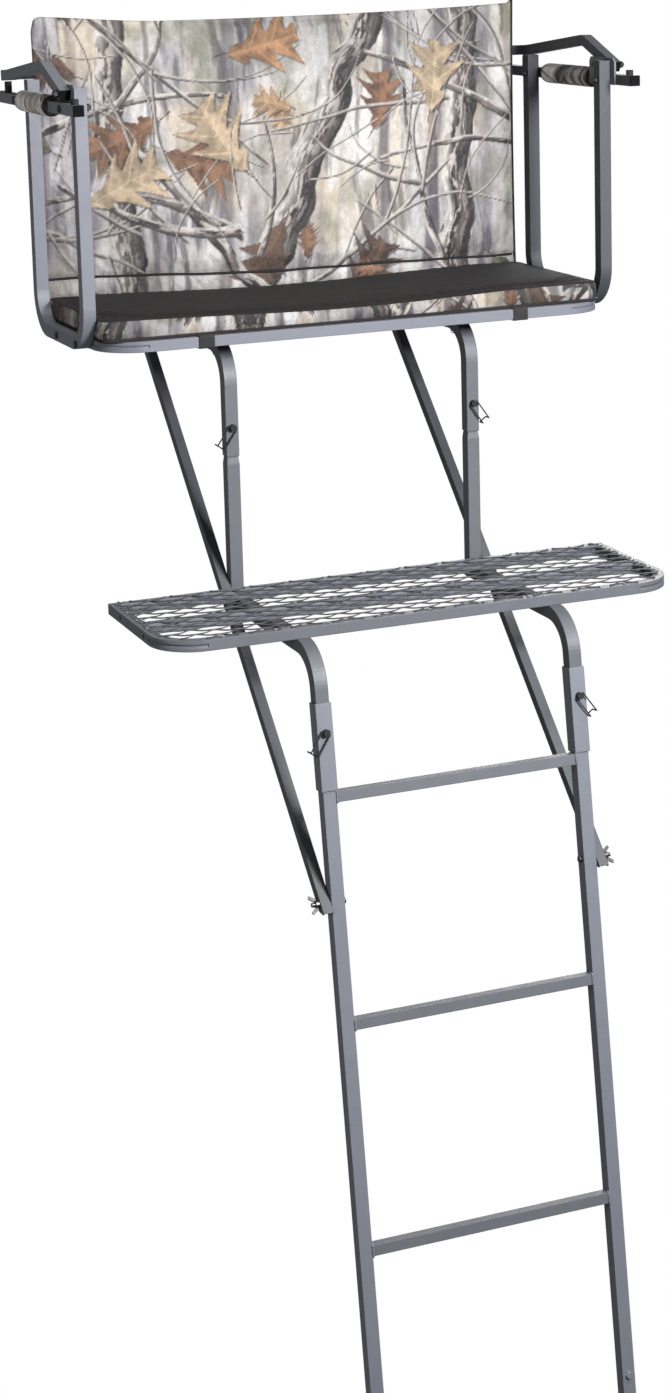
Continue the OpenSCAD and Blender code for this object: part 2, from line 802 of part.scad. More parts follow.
// End of the straight part of the rail side, in the deck frame, and its slope.
rail_turn = rail_rise + rail_fall;
rail_tail = rail_fall - rail_level;
rail_a_y = rail_first * cos(rail_rise) + rail_bend * (sin(rail_rise) + sin(rail_fall));
rail_a_z = rail_first * sin(rail_rise) + rail_bend * (cos(rail_fall) - cos(rail_rise));
rail_b_y = rail_a_y + rail_second * cos(rail_fall) + 200 * (sin(rail_fall) - sin(rail_tail));
rail_b_z = rail_a_z - rail_second * sin(rail_fall) - 200 * (cos(rail_tail) - cos(rail_fall));
rail_end_y = pivot_y + rail_b_y + rail_third * cos(rail_tail);
rail_end_z = pivot_z + rail_b_z - rail_third * sin(rail_tail);
rail_back_y = rail_end_y + rail_corner * cos(rail_tail);
rail_back_z = rail_end_z - rail_corner * sin(rail_tail);
rear_stop_h = rail_end_z - bar / 2 - arm_h - bar / 2 - 2.0;

module shooting_rail() {
    color("slategray") at_deck() {
        both_sides() {
            rail_side();
            translate([rail_x, rail_end_y, rail_end_z]) rotate([-90 - rail_tail, 0, 0])
                tube_arc(rail_corner, -90, bar, wall, 0);
        }
        translate([0, rail_back_y, rail_back_z]) rotate([-rail_tail, 0, 0])
            cross_tube(2 * (rail_x - rail_corner + weld_lap), bar);
    }
}

// Plugs in the front ends of the rail sides.
module rail_caps() {
    color("black") at_deck() both_sides() translate([rail_x, pivot_y, pivot_z])
        rotate([rail_rise - 90, 0, 0]) translate([0, 0, -rail_nose - 1])
            block([bar, bar, 2]);
}

// Foam roll on the cross piece of the rail.
module rail_pad() {
    color("darkkhaki") at_deck() translate([-rail_pad_half, rail_back_y, rail_back_z])
        rotate([-rail_tail, 0, 0]) rotate([0, 90, 0]) foam_roll(2 * rail_pad_half, pad_d, bar + 0.8);
}

// ---- locking pins ----

bail_wire = 2.6;
bail_turn = 35;
bail_len = 44;
bail_half = 8;
head_gap = 1;
head_len = 9;

// Locking pin along -Y through a tube of the given half size: head in front.
module lock_pin(half) {
    rotate([90, 0, 0]) difference() {
        union() {
            translate([0, 0, -half - 7]) cylinder(d = bolt, h = 2 * half + 8 + head_gap);
            translate([0, 0, half + head_gap]) cylinder(d = 12.6, h = head_len);
        }
        translate([0, 0, half + head_gap + head_len / 2]) rotate([0, 0, bail_turn])
            rotate([0, 90, 0]) cylinder(d = bail_wire + 0.16, h = 20, center = true);
    }
}

// Wire bail hanging from the pin head, down and toward +X, hooked round the tube.
module bail(half) {
    reach = half + 2;
    translate([0, -half - head_gap - head_len / 2, 0]) rotate([0, -bail_turn, 0]) {
        rotate([0, 90, 0]) cylinder(d = bail_wire, h = 2 * bail_half, center = true);
        for (x = [-bail_half, bail_half]) {
            translate([x, 0, 0]) sphere(d = bail_wire);
            translate([x, 0, -bail_len]) cylinder(d = bail_wire, h = bail_len);
            translate([x, 0, -bail_len]) sphere(d = bail_wire);
            translate([x, 0, -bail_len]) rotate([-90, 0, 0]) cylinder(d = bail_wire, h = reach);
            translate([x, reach, -bail_len]) sphere(d = bail_wire);
        }
        translate([0, reach, -bail_len]) rotate([0, 90, 0])
            cylinder(d = bail_wire, h = 2 * bail_half, center = true);
    }
}

module at_sleeve_pin(side) {
    on_ladder(sleeve_pin) translate([side * rail_gap / 2, 0, 0])
        mirror([side < 0 ? 1 : 0, 0, 0]) children();
}

module at_upright_pin(side) {
    at_deck() translate([side * upright_x, upright_y, upright_pin])
        mirror([side < 0 ? 1 : 0, 0, 0]) children();
}

module sleeve_pin_left() { color("black") at_sleeve_pin(-1) lock_pin(sleeve_size / 2); }
module sleeve_pin_right() { color("black") at_sleeve_pin(1) lock_pin(sleeve_size / 2); }
module upright_pin_left() { color("black") at_upright_pin(-1) lock_pin(tube / 2); }
module upright_pin_right() { color("black") at_upright_pin(1) lock_pin(tube / 2); }
module sleeve_bail_left() { color("silver") at_sleeve_pin(-1) bail(sleeve_size / 2); }
module sleeve_bail_right() { color("silver") at_sleeve_pin(1) bail(sleeve_size / 2); }
module upright_bail_left() { color("silver") at_upright_pin(-1) bail(tube / 2); }
module upright_bail_right() { color("silver") at_upright_pin(1) bail(tube / 2); }

lower_rails();
middle_rails();
top_rails();
rungs();
ladder_feet();
foot_bolts();
section_pins();
ladder_sleeves();
deck_legs();
deck_frame();
deck_bars();
deck_mesh();
deck_bolts();
lower_uprights();
seat_supports();
seat_spacers();
seat_frame();
seat_bars();
seat_slats();
seat_bolts();
braces();
brace_bolts();
brace_wing_nuts();
tree_bar();
tree_jaw();
strap_loops();
back_sockets();
back_frame();
backrest_pad();
seat_cushion();
cushion_straps();
arm_frames();
arm_spacers();
arm_bolts();
arm_bars();
arm_bar_caps();
arm_pads();
rail_plates();
rail_pivots();
rail_front_stops();
rail_rear_stops();
shooting_rail();
rail_caps();
rail_pad();
sleeve_pin_left();
sleeve_pin_right();
upright_pin_left();
upright_pin_right();
sleeve_bail_left();
sleeve_bail_right();
upright_bail_left();
upright_bail_right();
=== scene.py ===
import json
import math

import bmesh
import bpy
import numpy as np
from mathutils import Vector, Matrix
from mathutils.bvhtree import BVHTree


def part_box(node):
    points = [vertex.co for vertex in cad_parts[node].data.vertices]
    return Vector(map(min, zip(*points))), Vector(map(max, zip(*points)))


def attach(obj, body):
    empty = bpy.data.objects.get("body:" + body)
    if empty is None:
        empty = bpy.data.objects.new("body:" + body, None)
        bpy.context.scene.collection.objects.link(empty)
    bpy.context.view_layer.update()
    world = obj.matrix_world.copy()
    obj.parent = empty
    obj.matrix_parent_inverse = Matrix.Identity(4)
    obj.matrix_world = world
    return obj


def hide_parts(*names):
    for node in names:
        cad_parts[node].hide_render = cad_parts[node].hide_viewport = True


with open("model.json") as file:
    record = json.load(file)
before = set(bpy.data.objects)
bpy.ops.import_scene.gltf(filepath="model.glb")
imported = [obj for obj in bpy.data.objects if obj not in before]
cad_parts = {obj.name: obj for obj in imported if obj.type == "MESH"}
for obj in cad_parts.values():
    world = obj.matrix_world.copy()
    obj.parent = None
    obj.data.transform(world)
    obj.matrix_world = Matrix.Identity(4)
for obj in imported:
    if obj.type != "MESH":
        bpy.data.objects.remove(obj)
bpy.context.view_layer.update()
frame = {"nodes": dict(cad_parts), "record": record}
NODES = frame["nodes"]
scene = bpy.context.scene

# deck datum: middle of the deck's front edge, 3 mm before its mesh and level with the mesh's top
mesh_lo, mesh_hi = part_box("deck_mesh")
DECK = Vector((0.0, mesh_lo.y - 0.003, mesh_hi.z))
CAMERA_AT = (-1856.7, -4212.9, 1235.6)  # millimetres off the deck datum
CAMERA_TURN = (21.08, 10.15, 1.66)  # yaw, pitch and roll in degrees
CLOTH_TONE = 0.35  # how much light the printed cloth returns
SIM_FRAMES = 20
PANEL_THICK = 0.021
ROLL_WIDE = 0.042


def deck(x, y, z):
    """Point in the row frame from millimetres off the deck datum."""
    return Vector((x / 1000, y / 1000, z / 1000)) + DECK


# ---------------------------------------------------------------- camera and stage

def make_camera():
    """Camera at its fitted place, turned by yaw, pitch and a slight roll."""
    yaw, pitch, roll = (math.radians(a) for a in CAMERA_TURN)
    forward = Vector((math.sin(yaw) * math.cos(pitch), math.cos(yaw) * math.cos(pitch), -math.sin(pitch)))
    right = Vector((math.cos(yaw), -math.sin(yaw), 0))
    down = forward.cross(right)
    image_x = right * math.cos(roll) + down * math.sin(roll)
    image_y = -right * math.sin(roll) + down * math.cos(roll)
    data = bpy.data.cameras.new("camera")
    cam = bpy.data.objects.new("camera", data)
    scene.collection.objects.link(cam)
    turn = Matrix((image_x, -image_y, -forward)).transposed().to_4x4()
    cam.matrix_world = Matrix.Translation(deck(*CAMERA_AT)) @ turn
    data.lens = 67.36
    data.shift_x, data.shift_y = 0.0203, -0.22
    data.clip_start, data.clip_end = 0.1, 500
    data.dof.use_dof = False
    scene.camera = cam


def make_floor():
    bpy.ops.mesh.primitive_plane_add(size=1.9, location=(0.1, 0.3, 0))
    floor = bpy.context.object
    floor.name = "floor"
    m = Mat("floor_paper", Roughness=0.9, Specular_IOR_Level=0.1)
    m.colour(m.ramp(m.noise(m.coords(), 0.4, 2), [(0.3, 0.70), (0.7, 0.73)]))
    floor.data.materials.append(m.mat)


def make_world():
    """A weak sky that lights the object, and plain white where the camera sees past it."""
    world = bpy.data.worlds.new("studio")
    scene.world = world
    world.use_nodes = True
    tree = world.node_tree
    tree.nodes.clear()
    out = tree.nodes.new("ShaderNodeOutputWorld")
    path = tree.nodes.new("ShaderNodeLightPath")
    mix = tree.nodes.new("ShaderNodeMixShader")
    tree.links.new(path.outputs["Is Camera Ray"], mix.inputs[0])
    for socket, colour, strength in ((1, (0.96, 0.98, 1.0, 1), 0.25), (2, (1, 1, 1, 1), 1.0)):
        sky = tree.nodes.new("ShaderNodeBackground")
        sky.inputs[0].default_value = colour
        sky.inputs[1].default_value = strength
        tree.links.new(sky.outputs[0], mix.inputs[socket])
    tree.links.new(mix.outputs[0], out.inputs[0])


def add_light(name, kind, power, colour, away):
    """A light that shines against the vector away."""
    data = bpy.data.lights.new(name, kind)
    data.energy = power
    data.color = colour
    o = bpy.data.objects.new(name, data)
    scene.collection.objects.link(o)
    o.rotation_euler = away.to_track_quat("Z", "Y").to_euler()
    return o


def make_lights():
    az, el = math.radians(30), math.radians(72)
    toward = Vector((math.sin(az) * math.cos(el), -math.cos(az) * math.cos(el), math.sin(el)))
    key = add_light("key", "SUN", 2.3, (1.0, 0.99, 0.97), toward)
    key.data.angle = math.radians(12)
    for name, power, colour, size, place, aim in (
            ("panel", 355, (0.97, 0.985, 1.0), 0.7, (800, -2600, 1500), (0, 200, 0)),
            ("fill", 42, (1, 1, 1), 1.4, (-3000, -900, 500), (0, 300, 0)),
            ("back", 70, (1, 1, 1), 1.4, (2400, 3800, 1100), (0, 300, 0))):
        lamp = add_light(name, "AREA", power, colour, deck(*place) - deck(*aim))
        lamp.location = deck(*place)
        lamp.data.shape, lamp.data.size, lamp.data.size_y = "RECTANGLE", size, size
    scene.view_settings.view_transform = "Standard"
    scene.view_settings.look = "None"


# ---------------------------------------------------------------- materials

def linear(*rgb):
    """Linear colour from 0-255 display values."""
    return tuple(c / 255 / 12.92 if c / 255 <= 0.04045 else ((c / 255 + 0.055) / 1.055) ** 2.4 for c in rgb)


class Mat:
    """A node material on one Principled shader; in the names of its sockets _ stands for a space."""

    def __init__(self, name, **sockets):
        self.mat = bpy.data.materials.new(name)
        self.mat.use_nodes = True
        self.tree = self.mat.node_tree
        self.tree.nodes.clear()
        out = self.add("ShaderNodeOutputMaterial")
        self.shader = self.add("ShaderNodeBsdfPrincipled")
        self.link(self.shader.outputs[0], out.inputs[0])
        for k, v in sockets.items():
            self.shader.inputs[k.replace("_", " ")].default_value = v

    def add(self, kind, **props):
        node = self.tree.nodes.new(kind)
        for k, v in props.items():
            setattr(node, k, v)
        return node

    def link(self, a, b):
        self.tree.links.new(a, b)

    def put(self, socket, value):
        if hasattr(value, "is_output"):
            self.link(value, socket)
        else:
            socket.default_value = value

    def colour(self, value):
        self.link(value, self.shader.inputs["Base Color"])

    def roughness(self, fac, low, high):
        self.link(self.ramp(fac, [(0.3, low), (0.7, high)]), self.shader.inputs["Roughness"])

    def coords(self, scale=None):
        c = self.add("ShaderNodeTexCoord").outputs["Object"]
        if scale is None:
            return c
        m = self.add("ShaderNodeMapping")
        m.inputs["Scale"].default_value = scale
        self.link(c, m.inputs["Vector"])
        return m.outputs[0]

    def noise(self, vec, scale, detail=2.0, rough=0.5):
        node = self.add("ShaderNodeTexNoise")
        self.link(vec, node.inputs["Vector"])
        node.inputs["Scale"].default_value = scale
        node.inputs["Detail"].default_value = detail
        node.inputs["Roughness"].default_value = rough
        return node.outputs["Fac"]

    def wave(self, vec, scale, direction):
        node = self.add("ShaderNodeTexWave", bands_direction=direction)
        self.link(vec, node.inputs["Vector"])
        node.inputs["Scale"].default_value = scale
        return node.outputs["Fac"]

    def math(self, op, a, b):
        node = self.add("ShaderNodeMath", operation=op)
        self.put(node.inputs[0], a)
        self.put(node.inputs[1], b)
        return node.outputs[0]

    def ramp(self, fac, stops):
        """Two stops, each a place and a colour or a grey value."""
        node = self.add("ShaderNodeValToRGB")
        self.link(fac, node.inputs[0])
        for e, (place, c) in zip(node.color_ramp.elements, stops):
            e.position = place
            e.color = (*c, 1) if hasattr(c, "__len__") else (c, c, c, 1)
        return node.outputs["Color"]

    def mix(self, fac, a, b):
        node = self.add("ShaderNodeMix", data_type="RGBA")
        self.put(node.inputs[0], fac)
        for socket, v in ((node.inputs[6], a), (node.inputs[7], b)):
            self.put(socket, v if hasattr(v, "is_output") else (*v, 1))
        return node.outputs[2]

    def bump(self, height, strength, distance, normal=None):
        node = self.add("ShaderNodeBump")
        self.link(height, node.inputs["Height"])
        node.inputs["Strength"].default_value = strength
        node.inputs["Distance"].default_value = distance
        if normal is not None:
            self.link(normal, node.inputs["Normal"])
        self.link(node.outputs[0], self.shader.inputs["Normal"])

    def bevel(self, radius):
        node = self.add("ShaderNodeBevel", samples=4)
        node.inputs["Radius"].default_value = radius
        return node.outputs[0]


def shaded(tone, k):
    return tuple(v * k for v in tone)


def powder_coat(name, light, dark, edge=0.002, lit_left_tone=None):
    """Baked powder coat: even grey with slight clouding, fine orange peel and rounded tube corners.
    With lit_left_tone, painted light and shade: the tone goes over from that lighter tone at the left of the
    stand to its own darker one at the right."""
    m = Mat(name, Specular_IOR_Level=0.30)
    c = m.coords()
    tone = m.mix(m.noise(c, 7, 3), dark, light)
    tone = m.mix(m.ramp(m.noise(c, 900, 2), [(0.45, 0.0), (0.75, 0.22)]), tone, shaded(light, 1.6))
    # painted light and shade: lighter at the left of the stand, darker at its right, set by the object's x
    if lit_left_tone:
        across = m.add("ShaderNodeSeparateXYZ")
        m.link(c, across.inputs[0])
        side = m.math("ADD", m.math("MULTIPLY", across.outputs[0], 0.8), 0.5)
        tone = m.mix(m.ramp(side, [(0.2, 0.0), (0.8, 1.0)]), lit_left_tone, tone)
    m.colour(tone)
    m.roughness(m.noise(c, 30, 3), 0.46, 0.58)
    peel = m.math("ADD", m.noise(c, 420, 2), m.math("MULTIPLY", m.noise(c, 1500, 1), 0.4))
    m.bump(peel, 0.22, 0.0006, m.bevel(edge))
    return m.mat


def bright_steel(name, k=1.0):
    """Zinc plated steel with fine brushing and duller patches, k times as bright."""
    m = Mat(name, Metallic=1.0)
    c = m.coords()
    low, high = shaded((0.42, 0.42, 0.41), k), shaded((0.60, 0.60, 0.58), k)
    m.colour(m.ramp(m.noise(c, 60, 3), [(0.3, low), (0.7, high)]))
    m.roughness(m.noise(m.coords((1, 1, 12)), 300, 2), 0.28, 0.5)
    m.bump(m.noise(c, 1200, 2), 0.12, 0.0003, m.bevel(0.0006))
    return m.mat


def black_finish(name, tone, rough, edge=0.0008, grain=700, gloss=0.12):
    """Black oxide, moulded plastic or rubber, by tone and roughness."""
    m = Mat(name, Specular_IOR_Level=gloss)
    c = m.coords()
    m.colour(m.mix(m.noise(c, 25, 3), shaded(tone, 0.8), shaded(tone, 1.25)))
    m.roughness(m.noise(c, 80, 2), rough - 0.06, rough + 0.08)
    m.bump(m.noise(c, grain, 2), 0.18, 0.0004, m.bevel(edge))
    return m.mat


def weave(m, pitch, strength, planes):
    """Plain weave bump on m, made from two crossed sets of waves; returns the thread tone."""
    c = m.coords()
    rate = 0.314 / pitch
    thread = m.math("MULTIPLY", m.wave(c, rate, planes[0]), m.wave(c, rate, planes[1]))
    m.bump(m.math("ADD", thread, m.math("MULTIPLY", m.noise(c, 300, 3), 0.5)), strength, 0.0004)
    return thread


def black_canvas(name, base, planes="XZ"):
    """Dark polyester canvas: weave, faint mottling and a soft sheen."""
    m = Mat(name, Roughness=0.82, Sheen_Weight=0.01, Sheen_Roughness=0.5, Specular_IOR_Level=0.06)
    thread = weave(m, 0.0016, 0.5, planes)
    tone = m.mix(m.noise(m.coords(), 18, 4), shaded(base, 0.82), shaded(base, 1.2))
    m.colour(m.mix(m.math("MULTIPLY", thread, 0.35), tone, shaded(base, 0.55)))
    return m.mat


def camo_cloth(name, planes):
    """Printed polyester: the print is the mesh's own colour attribute, under a weave."""
    m = Mat(name, Roughness=0.78, Sheen_Weight=0.05, Sheen_Roughness=0.5, Specular_IOR_Level=0.3)
    c = m.coords()
    tone = m.add("ShaderNodeVertexColor", layer_name="print").outputs["Color"]
    tone = m.mix(m.ramp(m.noise(c, 420, 3, 0.65), [(0.35, 0.0), (0.75, 0.35)]), tone, (0.010, 0.009, 0.010))
    tone = m.mix(m.ramp(m.noise(c, 140, 4, 0.7), [(0.55, 0.0), (0.8, 0.16)]), tone, (0.34, 0.33, 0.31))
    thread = weave(m, 0.0014, 0.35, planes)
    m.colour(m.mix(m.math("MULTIPLY", thread, 0.12), tone, (0.03, 0.03, 0.03)))
    return m.mat


def set_material(mat, *names):
    for name in names:
        o = NODES[name]
        o.data.materials.clear()
        o.data.materials.append(mat)


def dress_cad():
    """Materials of the CAD solids, by slot first; then, by node, darker copies of the grey powder coat as
    painted shade.
    """
    grey = powder_coat("powder_coat_grey", (0.084, 0.087, 0.102), (0.070, 0.073, 0.086))
    dark = powder_coat("painted_plate", (0.031, 0.032, 0.035), (0.024, 0.025, 0.027), 0.001)
    by_slot = {
        "powder_coat": grey,
        "dark_steel": dark,
        "zinc_steel": bright_steel("zinc_plate"),
        "black_steel": black_finish("black_oxide", (0.012, 0.012, 0.013), 0.42),
        "black_plastic": black_finish("moulded_black", (0.004, 0.004, 0.0044), 0.85, gloss=0.02),
        "stop_rubber": black_finish("stop_rubber", (0.012, 0.012, 0.012), 0.72, 0.001, 350),
    }
    for part in frame["record"]["subparts"]:
        if part["material_slot"] in by_slot:
            set_material(by_slot[part["material_slot"]], part["node"])
    # painted shade: the same grey powder coat, darker on the deck frame, rungs, lower uprights and seat
    # supports, darker still on the legs and braces, and on the arm bars, rail and arm frames
    mid = powder_coat("powder_coat_deck_shaded", (0.060, 0.063, 0.071), (0.050, 0.052, 0.059))
    leg = powder_coat("powder_coat_leg_shaded", (0.046, 0.049, 0.055), (0.038, 0.040, 0.046))
    low = powder_coat("powder_coat_brace_shaded", (0.033, 0.035, 0.039), (0.026, 0.028, 0.031))
    deep = powder_coat("powder_coat_rail_shaded", (0.040, 0.041, 0.046), (0.032, 0.033, 0.037),
                       lit_left_tone=(0.085, 0.087, 0.095))
    post = powder_coat("powder_coat_arm_shaded", (0.028, 0.029, 0.034), (0.024, 0.025, 0.029),
                       lit_left_tone=(0.080, 0.083, 0.098))
    set_material(mid, "deck_frame", "lower_uprights", "seat_supports", "rungs")
    set_material(leg, "deck_legs")
    set_material(low, "braces")
    set_material(deep, "arm_bars", "shooting_rail")
    set_material(post, "arm_frames")
    set_material(bright_steel("dark_zinc", 0.12), "brace_bolts", "brace_wing_nuts")
    return grey, dark


# ---------------------------------------------------------------- mesh helpers

def add_mesh(name, verts, faces, mat, slot, body="stand", angle=None):
    """A smooth piece on a body; edges sharper than angle, in degrees, stay sharp."""
    me = bpy.data.meshes.new(name)
    me.from_pydata([tuple(v) for v in verts], [], [tuple(int(i) for i in f) for f in faces])
    me.update()
    o = bpy.data.objects.new(name, me)
    scene.collection.objects.link(o)
    me.materials.append(mat)
    me.polygons.foreach_set("use_smooth", [True] * len(me.polygons))
    if angle is not None:
        me.set_sharp_from_angle(angle=math.radians(angle))
    bm = bmesh.new()
    bm.from_mesh(me)
    bmesh.ops.recalc_face_normals(bm, faces=bm.faces)
    bm.to_mesh(me)
    bm.free()
    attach(o, body)
    return o


def ring_faces(rows, n, closed=False, caps=True):
    """Quads between rows of n points in a ring, and a cap on the first and last row of an open one."""
    faces = []
    for i in range(rows if closed else rows - 1):
        j = (i + 1) % rows
        faces += [(i * n + k, i * n + (k + 1) % n, j * n + (k + 1) % n, j * n + k) for k in range(n)]
    if caps and not closed:
        faces += [tuple(range(n))[::-1], tuple((rows - 1) * n + k for k in range(n))]
    return faces


def frames_along(points, closed, up):
    """Side and up vectors at each point of a path, kept near a given up vector."""
    if closed:
        t = np.roll(points, -1, 0) - np.roll(points, 1, 0)
    else:
        t = np.gradient(points, axis=0)
    t /= np.linalg.norm(t, axis=1)[:, None]
    s = np.cross(t, np.asarray(up, float))
    s /= np.linalg.norm(s, axis=1)[:, None]
    return s, np.cross(s, t)


def sweep(points, section, closed=False, up=(0, 0, 1), scale=None):
    """Vertices and faces of a section (list of side, up pairs) carried along points."""
    p = np.asarray(points, float)
    side, rise = frames_along(p, closed, up)
    grow = np.ones(len(p)) if scale is None else scale
    flat = np.asarray(section, float)[None] * grow[:, None, None]
    verts = p[:, None] + flat[:, :, :1] * side[:, None] + flat[:, :, 1:] * rise[:, None]
    return verts.reshape(-1, 3), ring_faces(len(p), len(section), closed)


def circle_section(r, n):
    return [(r * math.cos(2 * math.pi * i / n), r * math.sin(2 * math.pi * i / n)) for i in range(n)]


def merge(parts):
    """One vertex list and face list from several."""
    verts, faces, base = [], [], 0
    for v, f in parts:
        verts.extend(map(tuple, v))
        faces.extend([tuple(i + base for i in q) for q in f])
        base += len(v)
    return verts, faces


def hashed(i, j, seed):
    """A fixed random number from 0 to 1 for each whole i, j."""
    n = (i * 374761393 + j * 668265263 + seed * 974634777) & 0xFFFFFFFF
    n = ((n ^ (n >> 13)) * 1274126177) & 0xFFFFFFFF
    return ((n ^ (n >> 16)) & 0xFFFF) / 65535.0


def lattice(x, y, seed):
    """Smooth value noise from 0 to 1."""
    x, y = np.asarray(x, float), np.asarray(y, float)
    xi, yi = np.floor(x).astype(np.int64), np.floor(y).astype(np.int64)
    fx, fy = x - xi, y - yi
    fx, fy = fx * fx * (3 - 2 * fx), fy * fy * (3 - 2 * fy)
    a = hashed(xi, yi, seed) * (1 - fx) + hashed(xi + 1, yi, seed) * fx
    b = hashed(xi, yi + 1, seed) * (1 - fx) + hashed(xi + 1, yi + 1, seed) * fx
    return a * (1 - fy) + b * fy


def fbm(x, y, seed, octaves=4, gain=0.5):
    """Noise from 0 to 1 in octaves, each twice as fine and gain times as strong."""
    x, y = np.asarray(x), np.asarray(y)
    total, amp, norm = 0.0, 1.0, 0.0
    for k in range(octaves):
        total = total + amp * lattice(x * 2 ** k + 17.3 * k, y * 2 ** k + 9.1 * k, seed + k)
        norm += amp
        amp *= gain
    return total / norm


def step(edge0, edge1, x):
    """Smooth step from 0 at edge0 to 1 at edge1."""
    t = np.clip((x - edge0) / (edge1 - edge0), 0, 1)
    return t * t * (3 - 2 * t)


# ---------------------------------------------------------------- printed cloth

def over(base, colour, mask):
    """Colour laid over base where mask is 1."""
    return base + (np.asarray(colour) - base) * np.asarray(mask)[:, None]


def lerp(a, b, t):
    t = np.asarray(t)[:, None]
    return np.asarray(a) * (1 - t) + np.asarray(b) * t


def branch(base, u, v, start, end, w0, w1, bow, seed, tone):
    """Bark-covered limb from start to end: lit along its upper edge, dark along its lower one."""
    p, q = np.array(start), np.array(end)
    axis = q - p
    length = np.linalg.norm(axis)
    axis /= length
    side = np.array([-axis[1], axis[0]])
    if side[0] * -0.6 + side[1] * 0.8 < 0:
        side = -side
    mid, reach = (p + q) / 2, length / 2 + abs(bow) + 2 * w0 + 0.02
    near = (np.abs(u - mid[0]) < reach) & (np.abs(v - mid[1]) < reach)
    if not near.any():
        return base
    x0, y0 = u[near], v[near]
    s = (x0 - p[0]) * axis[0] + (y0 - p[1]) * axis[1]
    d = (x0 - p[0]) * side[0] + (y0 - p[1]) * side[1]
    t = np.clip(s / length, 0, 1)
    d = d - bow * 4 * t * (1 - t) - (lattice(s * 15, s * 0 + seed, seed) - 0.5) * (0.5 * w0 + 0.006)
    close = np.abs(d) < w0 * 2.4 + 0.004
    if not close.any():
        return base
    picked = np.nonzero(near)[0][close]
    s, d, t = s[close], d[close], t[close]
    thin = float(1 - step(0.003, 0.009, w0))
    rough = 0.78 + 0.5 * fbm(s * 30, s * 0 + 3.1 + seed, seed + 5, 3)
    even = 0.9 + 0.2 * fbm(s * 10, s * 0 + seed, seed + 5, 2)
    w = np.maximum((w0 + (w1 - w0) * t) * (rough * (1 - thin) + even * thin), 0.0017)
    x = d / w
    mask = (1 - step(w - 0.0010, w + 0.0012, np.abs(d))) * step(-0.006, 0.004, s)
    mask = mask * (1 - step(length - 0.004, length + 0.010, s))
    furrow = fbm(d * 95 + seed, s * 17, seed + 11, 4)
    crack = fbm(d * 210 + 3 * furrow, s * 48 + seed, seed + 17, 3)
    dark, light = linear(60 + tone, 50 + tone, 54 + tone), linear(132 + tone, 120 + tone, 118 + tone)
    c = lerp(dark, light, step(0.34, 0.58, furrow))
    c = lerp(c, linear(224, 216, 208), step(0.47, 0.64, crack) * (0.45 + 0.55 * step(-0.5, 0.6, x)))
    c = lerp(c, linear(232, 227, 220), step(0.25, 0.85, x) * 0.75 * step(0.35, 0.55, furrow + 0.2 * x))
    c = lerp(c, linear(38, 32, 36), step(0.05, 0.9, -x) * 0.85)
    lit = step(-0.75, 0.65, x + 0.5 * (fbm(s * 40, d * 300, seed + 2, 2) - 0.5))
    c = c + (lerp(linear(62, 54, 58), linear(214, 205, 198), lit) - c) * thin
    base[picked] = over(base[picked], c, mask)
    return base


def leaf(base, u, v, centre, angle, size, hue, lobes, seed, curl):
    """Pointed, lobed leaf with a midrib, side veins, a shaded half and a soft shadow."""
    near = (np.abs(u - centre[0]) < size * 0.75) & (np.abs(v - centre[1]) < size * 0.75)
    if not near.any():
        return base
    x0, y0 = u[near], v[near]
    c, s = math.cos(angle), math.sin(angle)

    def outline(du, dv):
        x = (x0 - centre[0] - du) * c + (y0 - centre[1] - dv) * s
        y = -(x0 - centre[0] - du) * s + (y0 - centre[1] - dv) * c
        y = y - curl * (x / size) ** 2 * size
        a = np.abs(y)
        along = (x - 0.75 * a) / size + 0.5
        body = np.clip(1 - np.abs(2 * along - 0.86) ** 2.2, 0, 1) ** 0.8
        tooth = np.abs(((along * lobes + 0.2 * (y > 0)) % 1.0) * 2 - 1)
        fine = np.abs(((along * lobes * 3 + 0.3) % 1.0) * 2 - 1)
        edge = size * body * (0.13 + 0.33 * tooth ** 1.3 + 0.035 * fine)
        return x, y, a, along, edge

    x, y, a, along, edge = outline(0, 0)
    _, _, a2, _, e2 = outline(0.004, -0.005)
    inside = np.abs(x) < size * 0.58
    part = base[near]
    part = over(part, linear(36, 30, 34), step(-0.002, 0.006, e2 - a2) * inside * 0.6)
    stem = (np.abs(y - 0.004 * np.sin(x * 50)) < 0.0014) & (x < -size * 0.25) & (x > -size * 0.74)
    part = over(part, linear(96, 72, 52), stem * 0.9)
    mask = step(-0.0010, 0.0014, edge - a) * inside
    hue = np.array(hue)
    body = fbm(x * 38 + seed, y * 38, seed + 3, 4)
    colour = lerp(hue * 0.55, hue * min(1.32, 0.8 / hue.max()), step(0.28, 0.72, body))
    half = np.where(y > 0, 1.0, 0.0)
    colour = lerp(colour, hue * 0.42, 0.42 * half + 0.25 * step(0.58, 0.75, body))
    colour = lerp(colour, hue * 0.3, step(0.62, 0.74, fbm(x * 70, y * 70 + seed, seed + 9, 3)) * 0.5)
    rib = np.abs(y) < 0.0013
    vein = (np.abs(((along * lobes + 0.5 + 0.2 * (y > 0)) % 1.0) - 0.5) < 0.06) & (a < edge * 0.9)
    colour = lerp(colour, hue * min(1.4, 0.86 / hue.max()), (rib | vein) * 0.4)
    colour = lerp(colour, hue * 0.35, step(0.004, 0.0, edge - a) * 0.55)
    base[near] = over(part, colour, mask)
    return base


